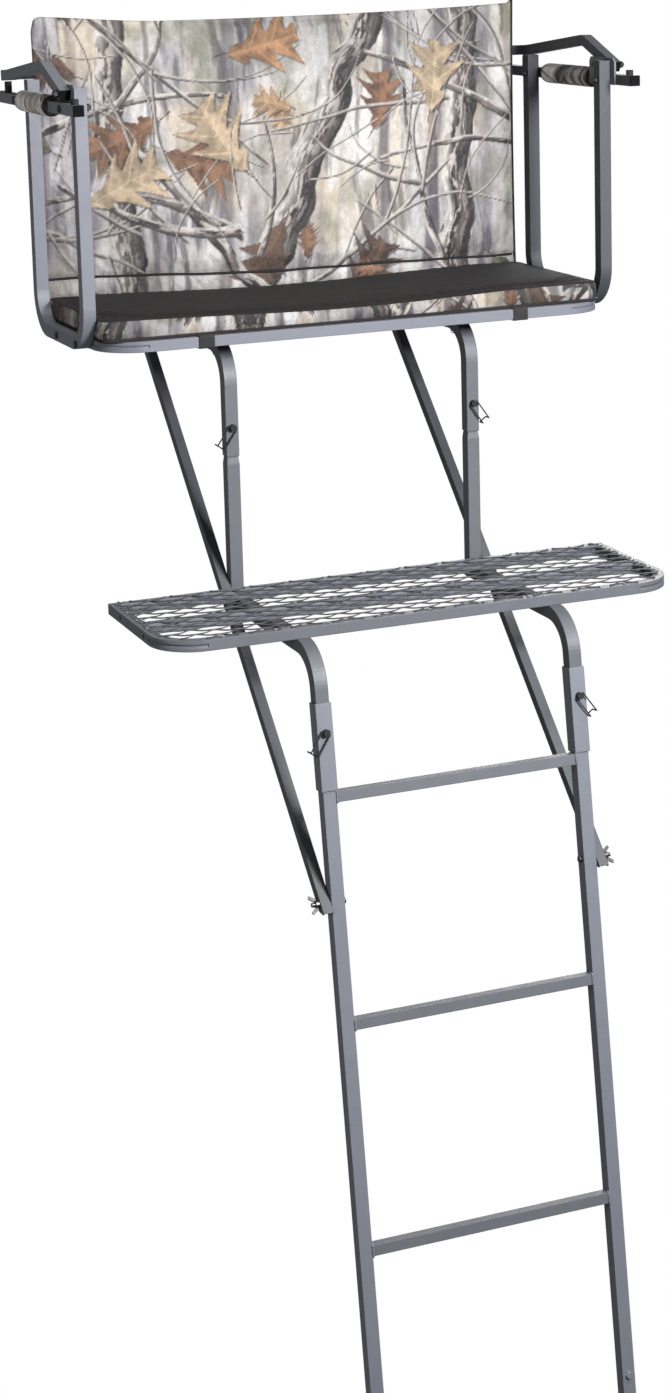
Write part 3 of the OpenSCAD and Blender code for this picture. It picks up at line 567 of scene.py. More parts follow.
def woodland(u, v):
    """Generic woodland print of this script's own making: pale forest, trunks, limbs and leaves."""
    u, v = np.asarray(u, float), np.asarray(v, float)
    rng = np.random.default_rng(31)
    warp = (fbm(u * 5, v * 5, 61, 3) - 0.5) * 0.05
    t = fbm((u + warp) * 22, v * 3.2, 1, 5, 0.6)
    base = lerp(linear(236, 231, 227), linear(150, 143, 152), step(0.36, 0.68, t))
    base = over(base, linear(226, 208, 178), step(0.50, 0.70, fbm((u + warp) * 6, v * 4.5, 5, 4)) * 0.6)
    base = over(base, linear(168, 163, 168), step(0.48, 0.70, fbm(u * 8 + 9, v * 6, 7, 4)) * 0.6)
    base = over(base, linear(250, 247, 244), step(0.54, 0.72, fbm(u * 26, v * 5, 8, 4)) * 0.75)
    base = over(base, linear(78, 72, 84), step(0.53, 0.72, fbm((u - warp) * 60, v * 8, 13, 4)) * 0.7)
    base = over(base, linear(138, 140, 118), step(0.56, 0.74, fbm(u * 12 + 3, v * 11, 39, 4)) * 0.55)
    for k in range(18):
        c, w, lean = rng.uniform(-0.8, 0.8), rng.uniform(0.006, 0.024), rng.uniform(-0.1, 0.1)
        d = np.abs(u - c - lean * v + 0.014 * (fbm(v * 6, v * 0 + k, 21 + k, 2) - 0.5))
        shade = (1 - step(w * 0.5, w, d)) * rng.uniform(0.4, 0.85)
        shade = shade * (0.6 + 0.5 * fbm(u * 90, v * 24, 23 + k, 2))
        base = over(base, linear(98, 91, 102) if k % 3 else linear(232, 228, 226), shade)
    hues = [linear(226, 190, 152), linear(206, 160, 120), linear(118, 94, 80), linear(128, 134, 110),
            linear(228, 204, 174), linear(152, 116, 92), linear(112, 116, 94)]

    def some_leaves(base, count, low, high, first, height=0.40):
        for k in range(count):
            x = -0.74 + 1.48 * ((k + 0.5 + rng.uniform(-0.4, 0.4)) / count)
            z = rng.uniform(-height, height)
            base = leaf(base, u, v, (x, z), rng.uniform(-math.pi, math.pi), rng.uniform(low, high),
                        hues[rng.integers(0, 7)], float(rng.uniform(2.8, 4.2)), first + k,
                        rng.uniform(-0.3, 0.3))
        return base

    def limb(base, x, z, angle, reach, w, depth, first, tone):
        tip = (x + reach * math.cos(angle), z + reach * math.sin(angle))
        bow = rng.uniform(-0.2, 0.2) * reach
        base = branch(base, u, v, (x, z), tip, w, w * 0.4, bow, first, tone)
        if depth:
            for k in range(2 + (depth > 1)):
                t = rng.uniform(0.25, 0.9)
                turn = rng.choice([-1, 1]) * rng.uniform(0.4, 0.95)
                off = bow * 4 * t * (1 - t)
                px = x + reach * t * math.cos(angle) - off * math.sin(angle) * 0.9
                pz = z + reach * t * math.sin(angle) + off * math.cos(angle) * 0.9
                base = limb(base, px, pz, angle + turn, reach * rng.uniform(0.4, 0.7),
                            w * rng.uniform(0.38, 0.6), depth - 1, first + 7 * k + 31, tone)
        return base

    base = some_leaves(base, 12, 0.06, 0.10, 200)
    trunks = [(-0.64, 0.02, 0.034, -6), (-0.33, -0.03, 0.030, -10), (0.05, 0.20, 0.036, 8),
              (0.37, 0.02, 0.033, -16), (0.68, -0.04, 0.03, 0)]
    for k, (x, lean, w, tone) in enumerate(trunks):
        bow = rng.uniform(-0.03, 0.03)
        base = branch(base, u, v, (x - lean, -0.46), (x + lean, 0.46), w, w * 0.85, bow, 50 + k, tone)
    base = some_leaves(base, 9, 0.09, 0.15, 260)
    starts = [(-0.78, -0.20, 0.45, 0.72, 0.013), (0.75, -0.12, 2.65, 0.66, 0.013),
              (0.10, -0.40, 2.35, 0.60, 0.019), (-0.50, 0.40, -0.75, 0.62, 0.007),
              (0.42, -0.40, 1.9, 0.55, 0.010), (0.22, 0.42, -0.9, 0.55, 0.006),
              (-0.15, -0.38, 0.6, 0.6, 0.008), (0.78, 0.30, 3.4, 0.5, 0.007),
              (-0.75, 0.30, -0.3, 0.5, 0.006)]
    for k, (x, z, angle, reach, w) in enumerate(starts):
        base = limb(base, x, z, angle, reach, w, 2, 80 + 3 * k, 4 * (k % 3))
    base = some_leaves(base, 9, 0.11, 0.17, 300, 0.30)
    for k in range(10):
        x, z, angle = rng.uniform(-0.75, 0.75), rng.uniform(-0.42, 0.42), rng.uniform(0.1, 3.0)
        base = limb(base, x, z, angle, rng.uniform(0.12, 0.30), 0.0026, int(k % 3 == 0), 120 + k, -8)
    base = some_leaves(base, 6, 0.05, 0.08, 400)
    deep = 1 - 0.30 * step(0.50, 0.72, fbm(u * 4.2 + 2, v * 4.2, 67, 3))
    fine = 0.84 + 0.40 * fbm(u * 130, v * 95, 69, 3)
    return np.clip(base * (deep * fine)[:, None], 0.004, 0.9)


def paint(o, u, v, shade=1.0, contrast=1.0):
    """Stores the print on a mesh, one colour a vertex, times a shade and with its contrast raised."""
    attribute = o.data.color_attributes.new("print", "FLOAT_COLOR", "POINT")
    rgba = np.ones((len(o.data.vertices), 4), np.float32)
    tone = woodland(u, v)
    rgba[:, :3] = tone * (tone / 0.5) ** (contrast - 1) * CLOTH_TONE * np.reshape(shade, (-1, 1))
    attribute.data.foreach_set("color", rgba.ravel())


def positions(o):
    co = np.empty(len(o.data.vertices) * 3, np.float32)
    o.data.vertices.foreach_get("co", co)
    return co.reshape(-1, 3).astype(float)


# ---------------------------------------------------------------- stuffed pieces

def inflate(verts, faces, voxel, pressure, cap, pinned):
    """Cloth simulation of a closed form, each point moving at most cap; returns a tree to cast rays at.
    pinned(points) says which points stay put, such as those on seams."""
    me = bpy.data.meshes.new("sim")
    me.from_pydata([tuple(p) for p in verts], [], [tuple(f) for f in faces])
    o = bpy.data.objects.new("sim", me)
    scene.collection.objects.link(o)
    bpy.context.view_layer.objects.active = o
    o.select_set(True)
    remesh = o.modifiers.new("remesh", "REMESH")
    remesh.mode = "VOXEL"
    remesh.voxel_size = voxel
    bpy.ops.object.modifier_apply(modifier="remesh")
    start = positions(o)
    group = o.vertex_groups.new(name="pin")
    group.add([int(i) for i in np.nonzero(pinned(start))[0]], 1.0, "REPLACE")
    cloth = o.modifiers.new("cloth", "CLOTH")
    s = cloth.settings
    s.quality = 5
    s.mass = 0.3
    s.use_pressure = True
    s.uniform_pressure_force = pressure
    s.effector_weights.gravity = 0
    s.vertex_group_mass = "pin"
    s.shrink_min = -0.02
    s.tension_stiffness = s.compression_stiffness = 12
    s.bending_stiffness = 0.3
    cloth.collision_settings.use_collision = False
    for f in range(1, SIM_FRAMES + 1):
        scene.frame_set(f)
    bpy.ops.object.modifier_apply(modifier="cloth")
    scene.frame_set(1)
    shift = positions(o) - start
    size = np.linalg.norm(shift, axis=1)
    size[size == 0] = 1
    moved = start + shift * np.minimum(1, cap / size)[:, None]
    o.data.vertices.foreach_set("co", moved.astype(np.float32).ravel())
    points = [tuple(p) for p in positions(o)]
    tree = BVHTree.FromPolygons(points, [tuple(p.vertices) for p in o.data.polygons])
    bpy.data.objects.remove(o)
    return tree


def axis_points(lo, hi, pitch):
    """Even points with extra ones close to both ends."""
    edge = np.array([0, 0.0008, 0.0022, 0.0042, 0.0068])
    n = max(2, int(round((hi - lo - 2 * edge[-1]) / pitch)) + 1)
    inner = np.linspace(lo + edge[-1], hi - edge[-1], n)
    return np.concatenate([lo + edge[:-1], inner, hi - edge[:-1][::-1]])


def roll(d, r):
    """Quarter-round profile: 0 at the edge, 1 past a distance r."""
    q = 1 - np.clip(d / r, 0, 1)
    return np.sqrt(np.clip(1 - q * q, 0, 1))


BACK_LO, BACK_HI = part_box("backrest_pad")
BACK_SEAM = BACK_LO.z + 0.047


def back_droop(x):
    """How far the seam hangs below its level at the left end."""
    n = np.asarray(x) / BACK_HI.x
    return 0.018 * step(-0.95, 0.0, n) + 0.004 * step(0.3, 1.0, n)


def back_outline(x, z):
    """Where a point of the flat panel lies: its sides pull in, its top dips between corners that
    differ from each other, and its seam hangs."""
    n = x / BACK_HI.x
    m = (z - BACK_LO.z) / (BACK_HI.z - BACK_LO.z)
    pull = 1 - (2 * m - 1) ** 2
    out_x = x * (1 - 0.006 * pull * np.abs(n) ** 3) - 0.023 * step(0.3, 1.0, -n)
    out_z = z - 0.009 * (1 - np.abs(n) ** 2.4) * m ** 6 + 0.011 * step(0.5, 1.0, -n) * m ** 3
    out_x = out_x + 0.006 * step(0.975, 1.0, -n) * step(0.95, 1.0, m)
    out_z = out_z - 0.009 * step(0.955, 1.0, -n) * m ** 8 + 0.009 * step(0.975, 1.0, n) * m ** 8
    low = 0.5 + 0.5 * np.clip((z - BACK_LO.z) / (BACK_SEAM - BACK_LO.z), 0, 1)
    return out_x, out_z - back_droop(x) * low * (1 - step(0.10, 0.5, m))


def back_panel(pitch, thick):
    """Closed panel of two faces joined along their edge. Returns its vertices, its faces, where each
    vertex lies on the flat cloth, and the grid of the front's vertex numbers."""
    xs = axis_points(BACK_LO.x + 0.003, BACK_HI.x - 0.003, pitch)
    zs = axis_points(BACK_LO.z + 0.003, BACK_HI.z - 0.002, pitch)
    nx, nz = len(xs), len(zs)
    gx, gz = np.meshgrid(xs, zs, indexing="ij")
    dx = np.minimum(gx - xs[0], xs[-1] - gx)
    dz = np.minimum(gz - zs[0], zs[-1] - gz)
    body = roll(dx, 0.016) * roll(dz, 0.016)
    crown = (1 - (gx / xs[-1]) ** 4) * (1 - ((gz - zs.mean()) / (zs[-1] - zs.mean())) ** 4)
    groove = 1 - 0.62 * np.exp(-((gz - BACK_SEAM) / 0.0055) ** 2)
    half = thick / 2 * body * groove + 0.003 * crown * body
    mid = (BACK_LO.y + BACK_HI.y) / 2
    ox, oz = back_outline(gx, gz)
    front = np.stack([ox, mid - half, oz], -1).reshape(-1, 3)
    rear = np.stack([ox, mid + thick / 2 * body, oz], -1).reshape(-1, 3)
    edge = np.ones((nx, nz), bool)
    edge[1:-1, 1:-1] = False
    edge = edge.ravel()
    index = np.arange(nx * nz)
    rear_index = np.where(edge, index, 0)
    inner = np.nonzero(~edge)[0]
    rear_index[inner] = nx * nz + np.arange(len(inner))
    verts = np.concatenate([front, rear[inner]])
    a = index.reshape(nx, nz)
    b = rear_index.reshape(nx, nz)
    quad_f = np.stack([a[:-1, :-1], a[1:, :-1], a[1:, 1:], a[:-1, 1:]], -1).reshape(-1, 4)
    quad_r = np.stack([b[:-1, :-1], b[:-1, 1:], b[1:, 1:], b[1:, :-1]], -1).reshape(-1, 4)
    plan = np.stack([gx.ravel(), gz.ravel()], -1)
    return verts, np.concatenate([quad_f, quad_r]), np.concatenate([plan, plan[inner] * (-1, 1)]), a


def make_backrest(cloth, cord, thread):
    """Stuffed panel: its swell is simulated, then read off by rays onto a finer mesh, with creases added."""
    coarse_v, coarse_f = back_panel(0.009, PANEL_THICK)[:2]
    mid = (BACK_LO.y + BACK_HI.y) / 2

    def pinned(p):
        side = np.abs(np.abs(p[:, 0]) - BACK_HI.x) < 0.011
        end = (p[:, 2] > BACK_HI.z - 0.011) | (p[:, 2] < BACK_LO.z + 0.011)
        return side | end | (np.abs(p[:, 2] - BACK_SEAM + back_droop(p[:, 0])) < 0.005)

    tree = inflate(coarse_v, coarse_f, 0.007, 5.0, 0.007, pinned)
    verts, faces, flat, grid = back_panel(0.0026, PANEL_THICK)
    for p in verts:
        if abs(p[1] - mid) < 0.004:
            continue
        toward = -1.0 if p[1] < mid else 1.0
        hit = tree.ray_cast(Vector((p[0], mid + toward * 0.06, p[2])), Vector((0, -toward, 0)))[0]
        if hit is not None and (hit.y - mid) * toward > 0:
            p[1] += (hit.y - p[1]) * min(1.0, (abs(p[1] - mid) - 0.004) / 0.005)
    x, z = flat[:, 0], flat[:, 1]
    creases = (fbm(x * 9, z * 26, 71, 3) - 0.5) * 0.0022 + (fbm(x * 3 + 5, z * 9, 73, 3) - 0.5) * 0.003
    edge_pull = np.exp(-(BACK_HI.z - z) / 0.05) * np.sin(x * 95 + 3 * fbm(x * 8, z * 4, 77, 2)) * 0.0007
    fade = np.clip((np.abs(verts[:, 1] - mid)) / 0.008, 0, 1)
    verts[:, 1] += (creases + edge_pull) * fade
    verts[:, 1] = np.clip(verts[:, 1], BACK_LO.y - 0.004, BACK_HI.y - 0.0006)
    panel = add_mesh("backrest_panel", verts, faces, cloth, "camo_fabric")
    paint(panel, x, z - (BACK_LO.z + BACK_HI.z) / 2, 1.03, 1.12)
    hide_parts("backrest_pad")
    sew_backrest(positions(panel), flat, grid, cord, thread)


def sew_backrest(p, flat, grid, cord, thread):
    """Cord in the sewn channel, binding down the right edge, and running stitches beside the channel."""
    column = flat[grid[0], 1]
    line = p[grid[3:-3:2, np.argmin(np.abs(column - BACK_SEAM))]]
    line[:, 1] -= 0.0006
    line[:, 2] += 0.0006 * np.sin(line[:, 0] * 40)
    add_mesh("backrest_seam_cord", *sweep(line, circle_section(0.0029, 10)), cord, "webbing")
    line = p[grid[-1, 2:-1:3]]
    line[:, 0] += 0.0008
    tape = [(-0.0036, -0.0026), (0.0036, -0.0026), (0.0044, 0.0), (0.0036, 0.0028), (0.0, 0.0036),
            (-0.0036, 0.0028), (-0.0044, 0.0)]
    add_mesh("backrest_binding", *sweep(line, tape, up=(1, 0, 0)), cord, "webbing")
    parts = []
    for row in (-0.0058, 0.0058):
        line = p[grid[4:-4, np.argmin(np.abs(column - (BACK_SEAM + row)))]]
        length = np.concatenate([[0], np.cumsum(np.linalg.norm(np.diff(line, axis=0), axis=1))])
        for s in np.arange(0.006, length[-1] - 0.006, 0.0068):
            at = s + np.array((0, 0.002, 0.004))
            ends = np.stack([np.interp(at, length, line[:, c]) for c in range(3)], -1)
            ends[:, 1] += (0.0004, -0.0005, 0.0004)
            parts.append(sweep(ends, circle_section(0.0004, 5)))
    add_mesh("backrest_stitches", *merge(parts), thread, "webbing")


def cushion_ring(d, n_long, n_corner, n_short, hx, hy, r):
    """A ring a distance d inside a rounded rectangle; the same count of points at any d."""
    rr = max(r - d, 0.0015 * max(0.0, 1 - d / hy))
    ax, ay = max(hx - d - rr, 0.0), max(hy - d - rr, 0.0)
    corners = ((1, -1), (1, 1), (-1, 1), (-1, -1))
    pts = []
    for q, (sx, sy) in enumerate(corners):
        first, last = (q - 1) * math.pi / 2, q * math.pi / 2
        for k in range(n_corner + 1):
            t = first + math.pi / 2 * k / n_corner
            pts.append((sx * ax + rr * math.cos(t), sy * ay + rr * math.sin(t)))
        nx, ny = corners[(q + 1) % 4]
        p0 = np.array((sx * ax + rr * math.cos(last), sy * ay + rr * math.sin(last)))
        p1 = np.array((nx * ax + rr * math.cos(last), ny * ay + rr * math.sin(last)))
        count = n_short if q % 2 == 0 else n_long
        pts += [tuple(p0 + (p1 - p0) * k / count) for k in range(1, count)]
    return np.array(pts)


def stack_rings(rings, heights, x, y):
    """Vertices of flat rings set round x, y at their heights."""
    return np.concatenate([np.column_stack([q + (x, y), np.full(len(q), z)]) for q, z in zip(rings, heights)])


def make_seat(top_cloth, print_cloth, cord):
    """Cushion built of rings: a printed boxing under a black top that is crowned by simulation and sags."""
    lo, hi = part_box("seat_cushion")
    cx, cy = -0.009, (lo.y + hi.y) / 2
    hx, hy, r = (hi.x - lo.x) / 2 - 0.0015, (hi.y - lo.y) / 2 - 0.001, 0.022
    z_low, z_top = lo.z + 0.0004, hi.z + 0.0010
    pitch = 0.0028
    n_long, n_corner, n_short = int(2 * (hx - r) / pitch), 14, int(2 * (hy - r) / pitch)
    # rows from the middle of the underside, out, up the boxing, and over the top to its middle
    rows = [(hy * s, z_low) for s in (0.999, 0.75, 0.5, 0.25, 0.1, 0.03)]
    rows += [(0.006, z_low + 0.0003), (0.0025, z_low + 0.0014)]
    first_side = len(rows)
    tall = z_top - z_low
    for t in np.linspace(0.08, 1.0, 15):
        rows.append((0.0006 - 0.0026 * math.sin(math.pi * t), z_low + tall * t))
    last_side = len(rows)
    for d in (0.0016, 0.0036, 0.0062, 0.0095, 0.0135, 0.018, 0.024, 0.031, 0.039, 0.048, 0.058, 0.069,
              0.081, 0.094, 0.108, 0.123, 0.139, 0.155, 0.17):
        shoulder = 0.0016 * math.sqrt(1 - (1 - min(1.0, d / 0.016)) ** 2)
        crown = 0.0042 * math.sin(math.pi / 2 * min(1.0, d / 0.11)) ** 0.8
        rows.append((d, z_top + shoulder + crown))
    rows.append((hy * 0.999, z_top + 0.0058))
    rings = [cushion_ring(d, n_long, n_corner, n_short, hx, hy, r) for d, _ in rows]
    count = len(rings[0])
    verts = stack_rings(rings, [z for _, z in rows], cx, cy)
    around = np.concatenate([[0], np.cumsum(np.linalg.norm(np.diff(rings[first_side], axis=0), axis=1))])
    faces = ring_faces(len(rows), count, caps=False)
    slots = np.repeat([int(first_side - 1 <= i < last_side - 1) for i in range(len(rows) - 1)], count)
    top = np.arange(len(verts)) >= last_side * count
    body = (np.arange(len(verts)) >= first_side * count) & ~top

    def pinned(p):
        rim = np.maximum(np.abs(p[:, 0] - cx) - (hx - 0.010), np.abs(p[:, 1] - cy) - (hy - 0.010)) > 0
        return rim | (p[:, 2] < z_low + 0.006)

    few = rows[::2] + [rows[-1]]
    coarse = [cushion_ring(d, 60, 6, 22, hx - 0.002, hy - 0.002, r) for d, _ in few]
    coarse_v = stack_rings(coarse, [z - 0.002 for _, z in few], cx, cy)
    tree = inflate(coarse_v, ring_faces(len(few), len(coarse[0])), 0.007, 4.0, 0.006, pinned)
    for i in np.nonzero(top)[0]:
        p = verts[i]
        hit = tree.ray_cast(Vector((p[0], p[1], z_top + 0.08)), Vector((0, 0, -1)))[0]
        if hit is not None and hit.z > z_top - 0.01:
            inside = min(hx - abs(p[0] - cx), hy - abs(p[1] - cy))
            p[2] += (hit.z - p[2]) * min(1.0, max(0.0, inside / 0.02)) * 0.7
    x, y = verts[:, 0], verts[:, 1]
    soft = (fbm(x * 5, y * 8, 91, 3) - 0.5) * 0.0045 + (fbm(x * 14, y * 20, 93, 3) - 0.5) * 0.0016
    verts[:, 2] += np.where(top, soft, 0)
    s = np.tile(around, len(rows))
    pucker = (fbm(s * 26, verts[:, 2] * 60, 95, 3) - 0.5) * 0.0022
    out = np.column_stack([x - cx, y - cy])
    out /= np.maximum(np.linalg.norm(out, axis=1), 1e-6)[:, None]
    verts[:, 0] += np.where(body, out[:, 0] * pucker, 0)
    verts[:, 1] += np.where(body, out[:, 1] * pucker, 0)
    sag = 0.0125 * np.exp(-((x + 0.02) / 0.23) ** 2 / 2) + 0.003 * step(0.30, 0.5, x)
    verts[:, 2] -= sag * np.clip((verts[:, 2] - z_low) / tall, 0, 1.0)
    o = add_mesh("seat_cushion_cover", verts, faces, top_cloth, "seat_fabric")
    o.data.materials.append(print_cloth)
    o.data.polygons.foreach_set("material_index", slots)
    # the print runs round the boxing and back again, so that it has no jump where it meets itself
    paint(o, np.abs((s * 1.25 + 0.3) % 2.8 - 1.4) - 0.7, (verts[:, 2] - z_low) * 1.25 - 0.19, 0.62, 1.5)
    bm = bmesh.new()
    bm.from_mesh(o.data)
    bmesh.ops.remove_doubles(bm, verts=bm.verts, dist=0.0004)
    bmesh.ops.recalc_face_normals(bm, faces=bm.faces)
    bm.to_mesh(o.data)
    bm.free()
    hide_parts("seat_cushion")
    for name, row, size, drop in (("seat_lower_piping", first_side - 1, 0.0040, 0.0026),
                                  ("seat_upper_seam", last_side - 1, 0.0009, 0)):
        line = verts[row * count:(row + 1) * count:2] - (0, 0, drop)
        add_mesh(name, *sweep(line, circle_section(size, 7), closed=True), cord, "webbing")


def foam_roll(name, box, axis, body, cloth, cord, seed, gain):
    """Printed cover round a foam roll: slight lumps, gathered ends and a closing seam underneath."""
    lo, hi = box
    length = hi[axis] - lo[axis]
    radius = (hi[2] - lo[2]) / 2 - 0.0006
    ends = np.array([0, 0, 0.0006, 0.002, 0.0045, 0.008])
    middle = np.linspace(0.012, length - 0.012, int(length / (0.0028)))
    along = np.concatenate([ends, middle, (length - ends)[::-1]])
    gather = np.array([0.48, 0.66, 0.80, 0.90, 0.965, 0.99])
    shrink = np.concatenate([gather, np.ones(len(middle)), gather[::-1]])
    n = 56
    reach, turn = np.meshgrid(along, np.arange(n) * 2 * math.pi / n, indexing="ij")
    lump = 1 + 0.045 * (fbm(reach * 22, np.cos(turn) * 1.2 + np.sin(turn) * 0.7 + seed, seed, 3) - 0.5)
    lump = lump + 0.02 * (fbm(reach * 70, turn * 1.3, seed + 4, 2) - 0.5)
    seam = 1 - 0.05 * np.exp(-((turn - 1.5 * math.pi) / 0.055) ** 2)
    radii = radius * shrink[:, None] * np.minimum(lump, 1.022) * seam * 0.985
    a, across, rise = reach - length / 2, radii * np.cos(turn), radii * np.sin(turn)
    offsets = (a, across, rise) if axis == 0 else (across, a, rise)
    verts = (np.stack(offsets, -1) + (np.array(lo) + np.array(hi)) / 2).reshape(-1, 3)
    o = add_mesh(name, verts, ring_faces(len(along), n), cloth, "camo_fabric", body)
    a, turn, to_end = a.ravel(), turn.ravel(), np.minimum(reach, length - reach).ravel()
    rings = fbm(a * 60 + 0.5 * np.cos(turn), turn * 0.4, seed + 21, 3)
    # gain is painted light and shade: it brightens the print of an arm roll whose visible side faces away
    # from the lamps, and dims the rail roll's print; the print also darkens towards the gathered ends
    shade = gain * (1 - 0.72 * step(0.50, 0.64, rings)) * (0.12 + 0.88 * step(0.004, 0.014, to_end))
    paint(o, a + seed * 0.17 - 0.3, (turn - math.pi) * radius + 0.06 * seed - 0.15, shade)
    parts = [sweep(verts[i * n:(i + 1) * n], circle_section(0.0009, 6), closed=True, up=np.eye(3)[axis])
             for i in (3, len(along) - 4)]
    add_mesh(name + "_end_seams", *merge(parts), cord, "webbing", body)
    return o


def make_straps(web):
    """Webbing loops round the front tube of the bench, with two rows of stitches on the front of each."""
    lo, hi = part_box("cushion_straps")
    inner, t, half, fold = 0.0108, 0.0015, 0.0148, 0.0016
    cy, cz = (lo.y + hi.y) / 2, (lo.z + hi.z) / 2
    section = [(-t / 2, -half), (0, -half - 0.0005), (t / 2, -half), (t / 2 + 0.0003, -half + 0.003),
               (t / 2, 0), (t / 2 + 0.0003, half - 0.003), (t / 2, half), (0, half + 0.0005),
               (-t / 2, half), (-t / 2, 0)]
    parts, stitches = [], []
    for cx in (-0.320, 0.320):
        path = []
        for q, (sy, sz) in enumerate(((1, 1), (-1, 1), (-1, -1), (1, -1))):
            for k in range(6):
                a = math.pi / 2 * (q + k / 5)
                path.append((cx, cy + sy * (inner - fold) + (fold + t / 2) * math.cos(a),
                             cz + sz * (inner - fold) + (fold + t / 2) * math.sin(a)))
        parts.append(sweep(path, section, closed=True, up=(1, 0, 0)))
        front = cy - inner - t - 0.0002
        for dx in (-0.009, 0.009):
            for z0 in (cz - 0.0075 + 0.0033 * k for k in range(5)):
                line = [(cx + dx, front + 0.0003, z0), (cx + dx, front - 0.0004, z0 + 0.001),
                        (cx + dx, front + 0.0003, z0 + 0.002)]
                stitches.append(sweep(line, circle_section(0.0004, 5), up=(1, 0, 0)))
    o = add_mesh("cushion_webbing", *merge(parts), web, "webbing", angle=50)
    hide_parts("cushion_straps")
    add_mesh("cushion_webbing_stitches", *merge(stitches), web, "webbing")


# ---------------------------------------------------------------- steel detail

def strand_wave(phase):
    """Zigzag from -1 to 1 over a phase of 0 to 1, with rounded tips."""
    tri = 1 - abs(phase * 2 - 1) * 2
    if abs(tri) < 0.72:
        return tri * 0.985
    return math.copysign(0.72 + 0.2 * math.sin((abs(tri) - 0.72) / 0.28 * math.pi / 2), tri)


def make_deck_mesh(paint_mat):
    """Expanded sheet: zigzag strands, each tilted, that meet at bonds and end inside the rounded outline."""
    diamond_x, diamond_y, strand = 0.080, 0.033, 0.0044
    corner, inset = 0.078, 0.006
    lo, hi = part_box("deck_mesh")
    depth = hi.y - lo.y
    rows = int((depth - 0.038) / diamond_y)
    y0 = lo.y + (depth - rows * diamond_y) / 2
    half = (hi.x - lo.x) / 2 - inset
    section = tilt([(-0.0009, -strand / 2), (0.0009, -strand / 2), (0.0011, 0), (0.0009, strand / 2),
                    (-0.0009, strand / 2), (-0.0011, 0)], 0.50)

    def limit(y):
        """How far the sheet reaches to either side at y."""
        if y >= lo.y + inset + corner:
            return half
        q = (lo.y + inset + corner - y) / corner
        return -1 if q > 1 else half - corner * (1 - math.sqrt(1 - q * q))

    runs = []
    for j in range(-1, 2 * rows + 3):
        base = y0 + (j - 0.5) * diamond_y / 2 + diamond_y / 4
        runs.append([])
        for x in np.arange(-half, half + 1e-9, diamond_x / 24):
            phase = (x / diamond_x + 0.5 * (j % 2)) % 1.0
            y = base + diamond_y / 4 * strand_wave(phase) * 1.04
            if lo.y + 0.005 < y < hi.y - 0.004 and abs(x) <= limit(y):
                runs[-1].append((x, y, hi.z - 0.0013 + 0.0007 * math.cos(4 * math.pi * phase)))
            else:
                runs.append([])
    parts = [sweep(run, section, up=(0, 1, 0)) for run in runs if len(run) > 4]
    o = add_mesh("deck_expanded_mesh", *merge(parts), paint_mat, "dark_steel", angle=35)
    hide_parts("deck_mesh")


def tilt(section, angle):
    c, s = math.cos(angle), math.sin(angle)
    return [(a * c - b * s, a * s + b * c) for a, b in section]


def weld_loop(centre, half, dir_a, dir_b, radius, seed):
    """Bead of weld round a square tube end, of uneven thickness."""
    a, b = np.array(dir_a, float), np.array(dir_b, float)
    reach, count = half + 0.0004, 40
    pts = []
    for k in range(count):
        t = k / count * 4
        s = (t % 1) * 2 - 1
        da, db = ((s, -1), (1, s), (-s, 1), (-1, -s))[int(t)]
        pts.append(np.array(centre) + a * da * reach + b * db * reach)
    wobble = 0.75 + 0.5 * lattice(np.arange(count) * 0.9, np.full(count, seed * 1.7), seed)
    return sweep(pts, circle_section(radius, 6), closed=True, up=np.cross(a, b), scale=wobble)


def make_welds(paint_mat):
    """Weld beads at the ends of the rungs, of the deck and seat bars, and on the front of the tree bar."""
    parts = []
    lo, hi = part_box("rungs")
    lean = math.radians(8)
    up = np.array((0, math.sin(lean), math.cos(lean)))
    back = np.array((0, math.cos(lean), -math.sin(lean)))
    co = positions(NODES["rungs"])
    order = np.sort(co[:, 2])
    for i, g in enumerate(np.split(order, np.nonzero(np.diff(order) > 0.1)[0] + 1)):
        rung = co[(co[:, 2] >= g[0] - 1e-5) & (co[:, 2] <= g[-1] + 1e-5)]
        mid = (rung.min(0) + rung.max(0)) / 2
        for side in (-1, 1):
            centre = (side * (hi.x - 0.0009), mid[1], mid[2])
            parts.append(weld_loop(centre, 0.010, back, up, 0.0021, i * 2 + side + 3))
    for node in ("deck_bars", "seat_bars"):
        lo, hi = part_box(node)
        for y in (lo.y + 0.010, hi.y - 0.010):
            for side in (-1, 1):
                centre = (side * (hi.x - 0.0007), y, (lo.z + hi.z) / 2)
                seed = int(abs(y) * 90) + side + 5
                parts.append(weld_loop(centre, 0.010, (0, 1, 0), (0, 0, 1), 0.0018, seed))
    lo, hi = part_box("tree_bar")
    for side in (-1, 1):
        centre = (side * 0.25, lo.y + 0.0006, (lo.z + hi.z) / 2)
        parts.append(weld_loop(centre, 0.0125, (1, 0, 0), (0, 0, 1), 0.0020, 40 + side))
    add_mesh("weld_beads", *merge(parts), paint_mat, "powder_coat")


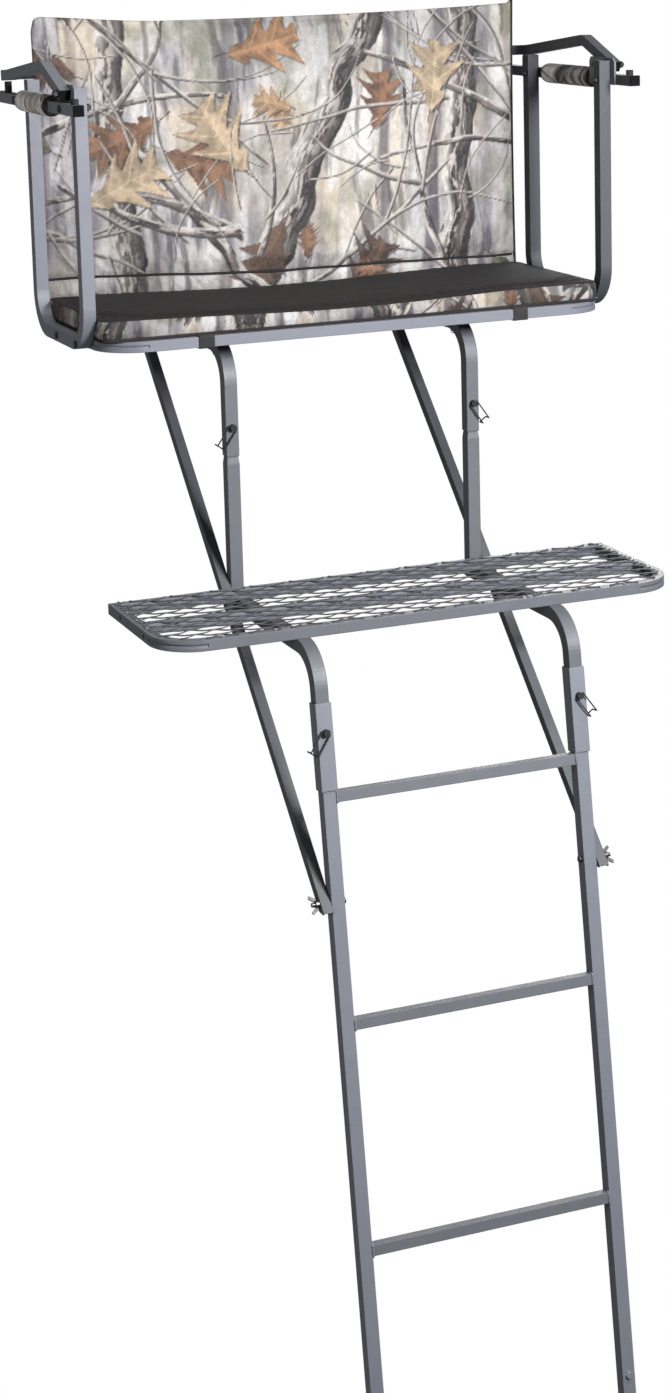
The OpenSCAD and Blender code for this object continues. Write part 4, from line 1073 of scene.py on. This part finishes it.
def make_tack_welds(paint_mat):
    """Small domed tack welds of the mesh along the deck frame."""
    lo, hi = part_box("deck_mesh")
    rng = np.random.default_rng(5)
    spots = [(x, hi.y - 0.010) for x in np.arange(-0.44, 0.45, 0.11)]
    spots += [(x, lo.y + 0.006) for x in np.arange(-0.40, 0.41, 0.10)]
    spots += [(s * (hi.x - 0.008), y) for s in (-1, 1) for y in np.arange(lo.y + 0.12, hi.y - 0.02, 0.06)]
    dome = ((1.0, -0.0022), (0.92, -0.0010), (0.62, -0.0002), (0.2, 0.0001))
    parts = []
    for x, y in spots:
        r = rng.uniform(0.0026, 0.0036)
        verts = [(x + 1.4 * q * a, y + q * b, hi.z + h) for q, h in dome for a, b in circle_section(r, 10)]
        parts.append((verts, ring_faces(len(dome), 10)))
    add_mesh("mesh_tack_welds", *merge(parts), paint_mat, "dark_steel")


# ---------------------------------------------------------------- build

make_camera()
make_floor()
make_world()
make_lights()
grey_coat, dark_paint = dress_cad()
camo_upright = camo_cloth("camo_cloth_upright", "XZ")
camo_roll = camo_cloth("camo_cloth_roll", "XY")
seat_canvas = black_canvas("seat_canvas", (0.0085, 0.0075, 0.0072), "XY")
tape = black_canvas("binding_tape", (0.013, 0.012, 0.012))
thread = black_canvas("sewing_thread", (0.12, 0.112, 0.105))

make_backrest(camo_upright, tape, thread)
make_seat(seat_canvas, camo_upright, tape)
# the last number of each roll is painted light and shade: the print's brightness, low on the rail roll and
# high on the arm rolls
rail_roll = foam_roll("rail_roll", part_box("rail_pad"), 0, "rail", camo_roll, tape, 3, 0.6)
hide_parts("rail_pad")
pad_lo, pad_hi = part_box("arm_pads")
# gain, painted light: the left arm roll's print is made lightest, since its visible side lies in shade
for tag, a, b, seed, gain in (("left", pad_lo.x, pad_lo.x + ROLL_WIDE, 1, 2.5),
                              ("right", pad_hi.x - ROLL_WIDE, pad_hi.x, 2, 1.7)):
    box = (Vector((a, pad_lo.y, pad_lo.z)), Vector((b, pad_hi.y, pad_hi.z)))
    foam_roll("arm_roll_" + tag, box, 1, "stand", camo_roll, tape, seed, gain)
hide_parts("arm_pads")
make_straps(black_canvas("webbing_tape", (0.020, 0.019, 0.019)))
make_deck_mesh(dark_paint)
make_welds(grey_coat)
make_tack_welds(grey_coat)
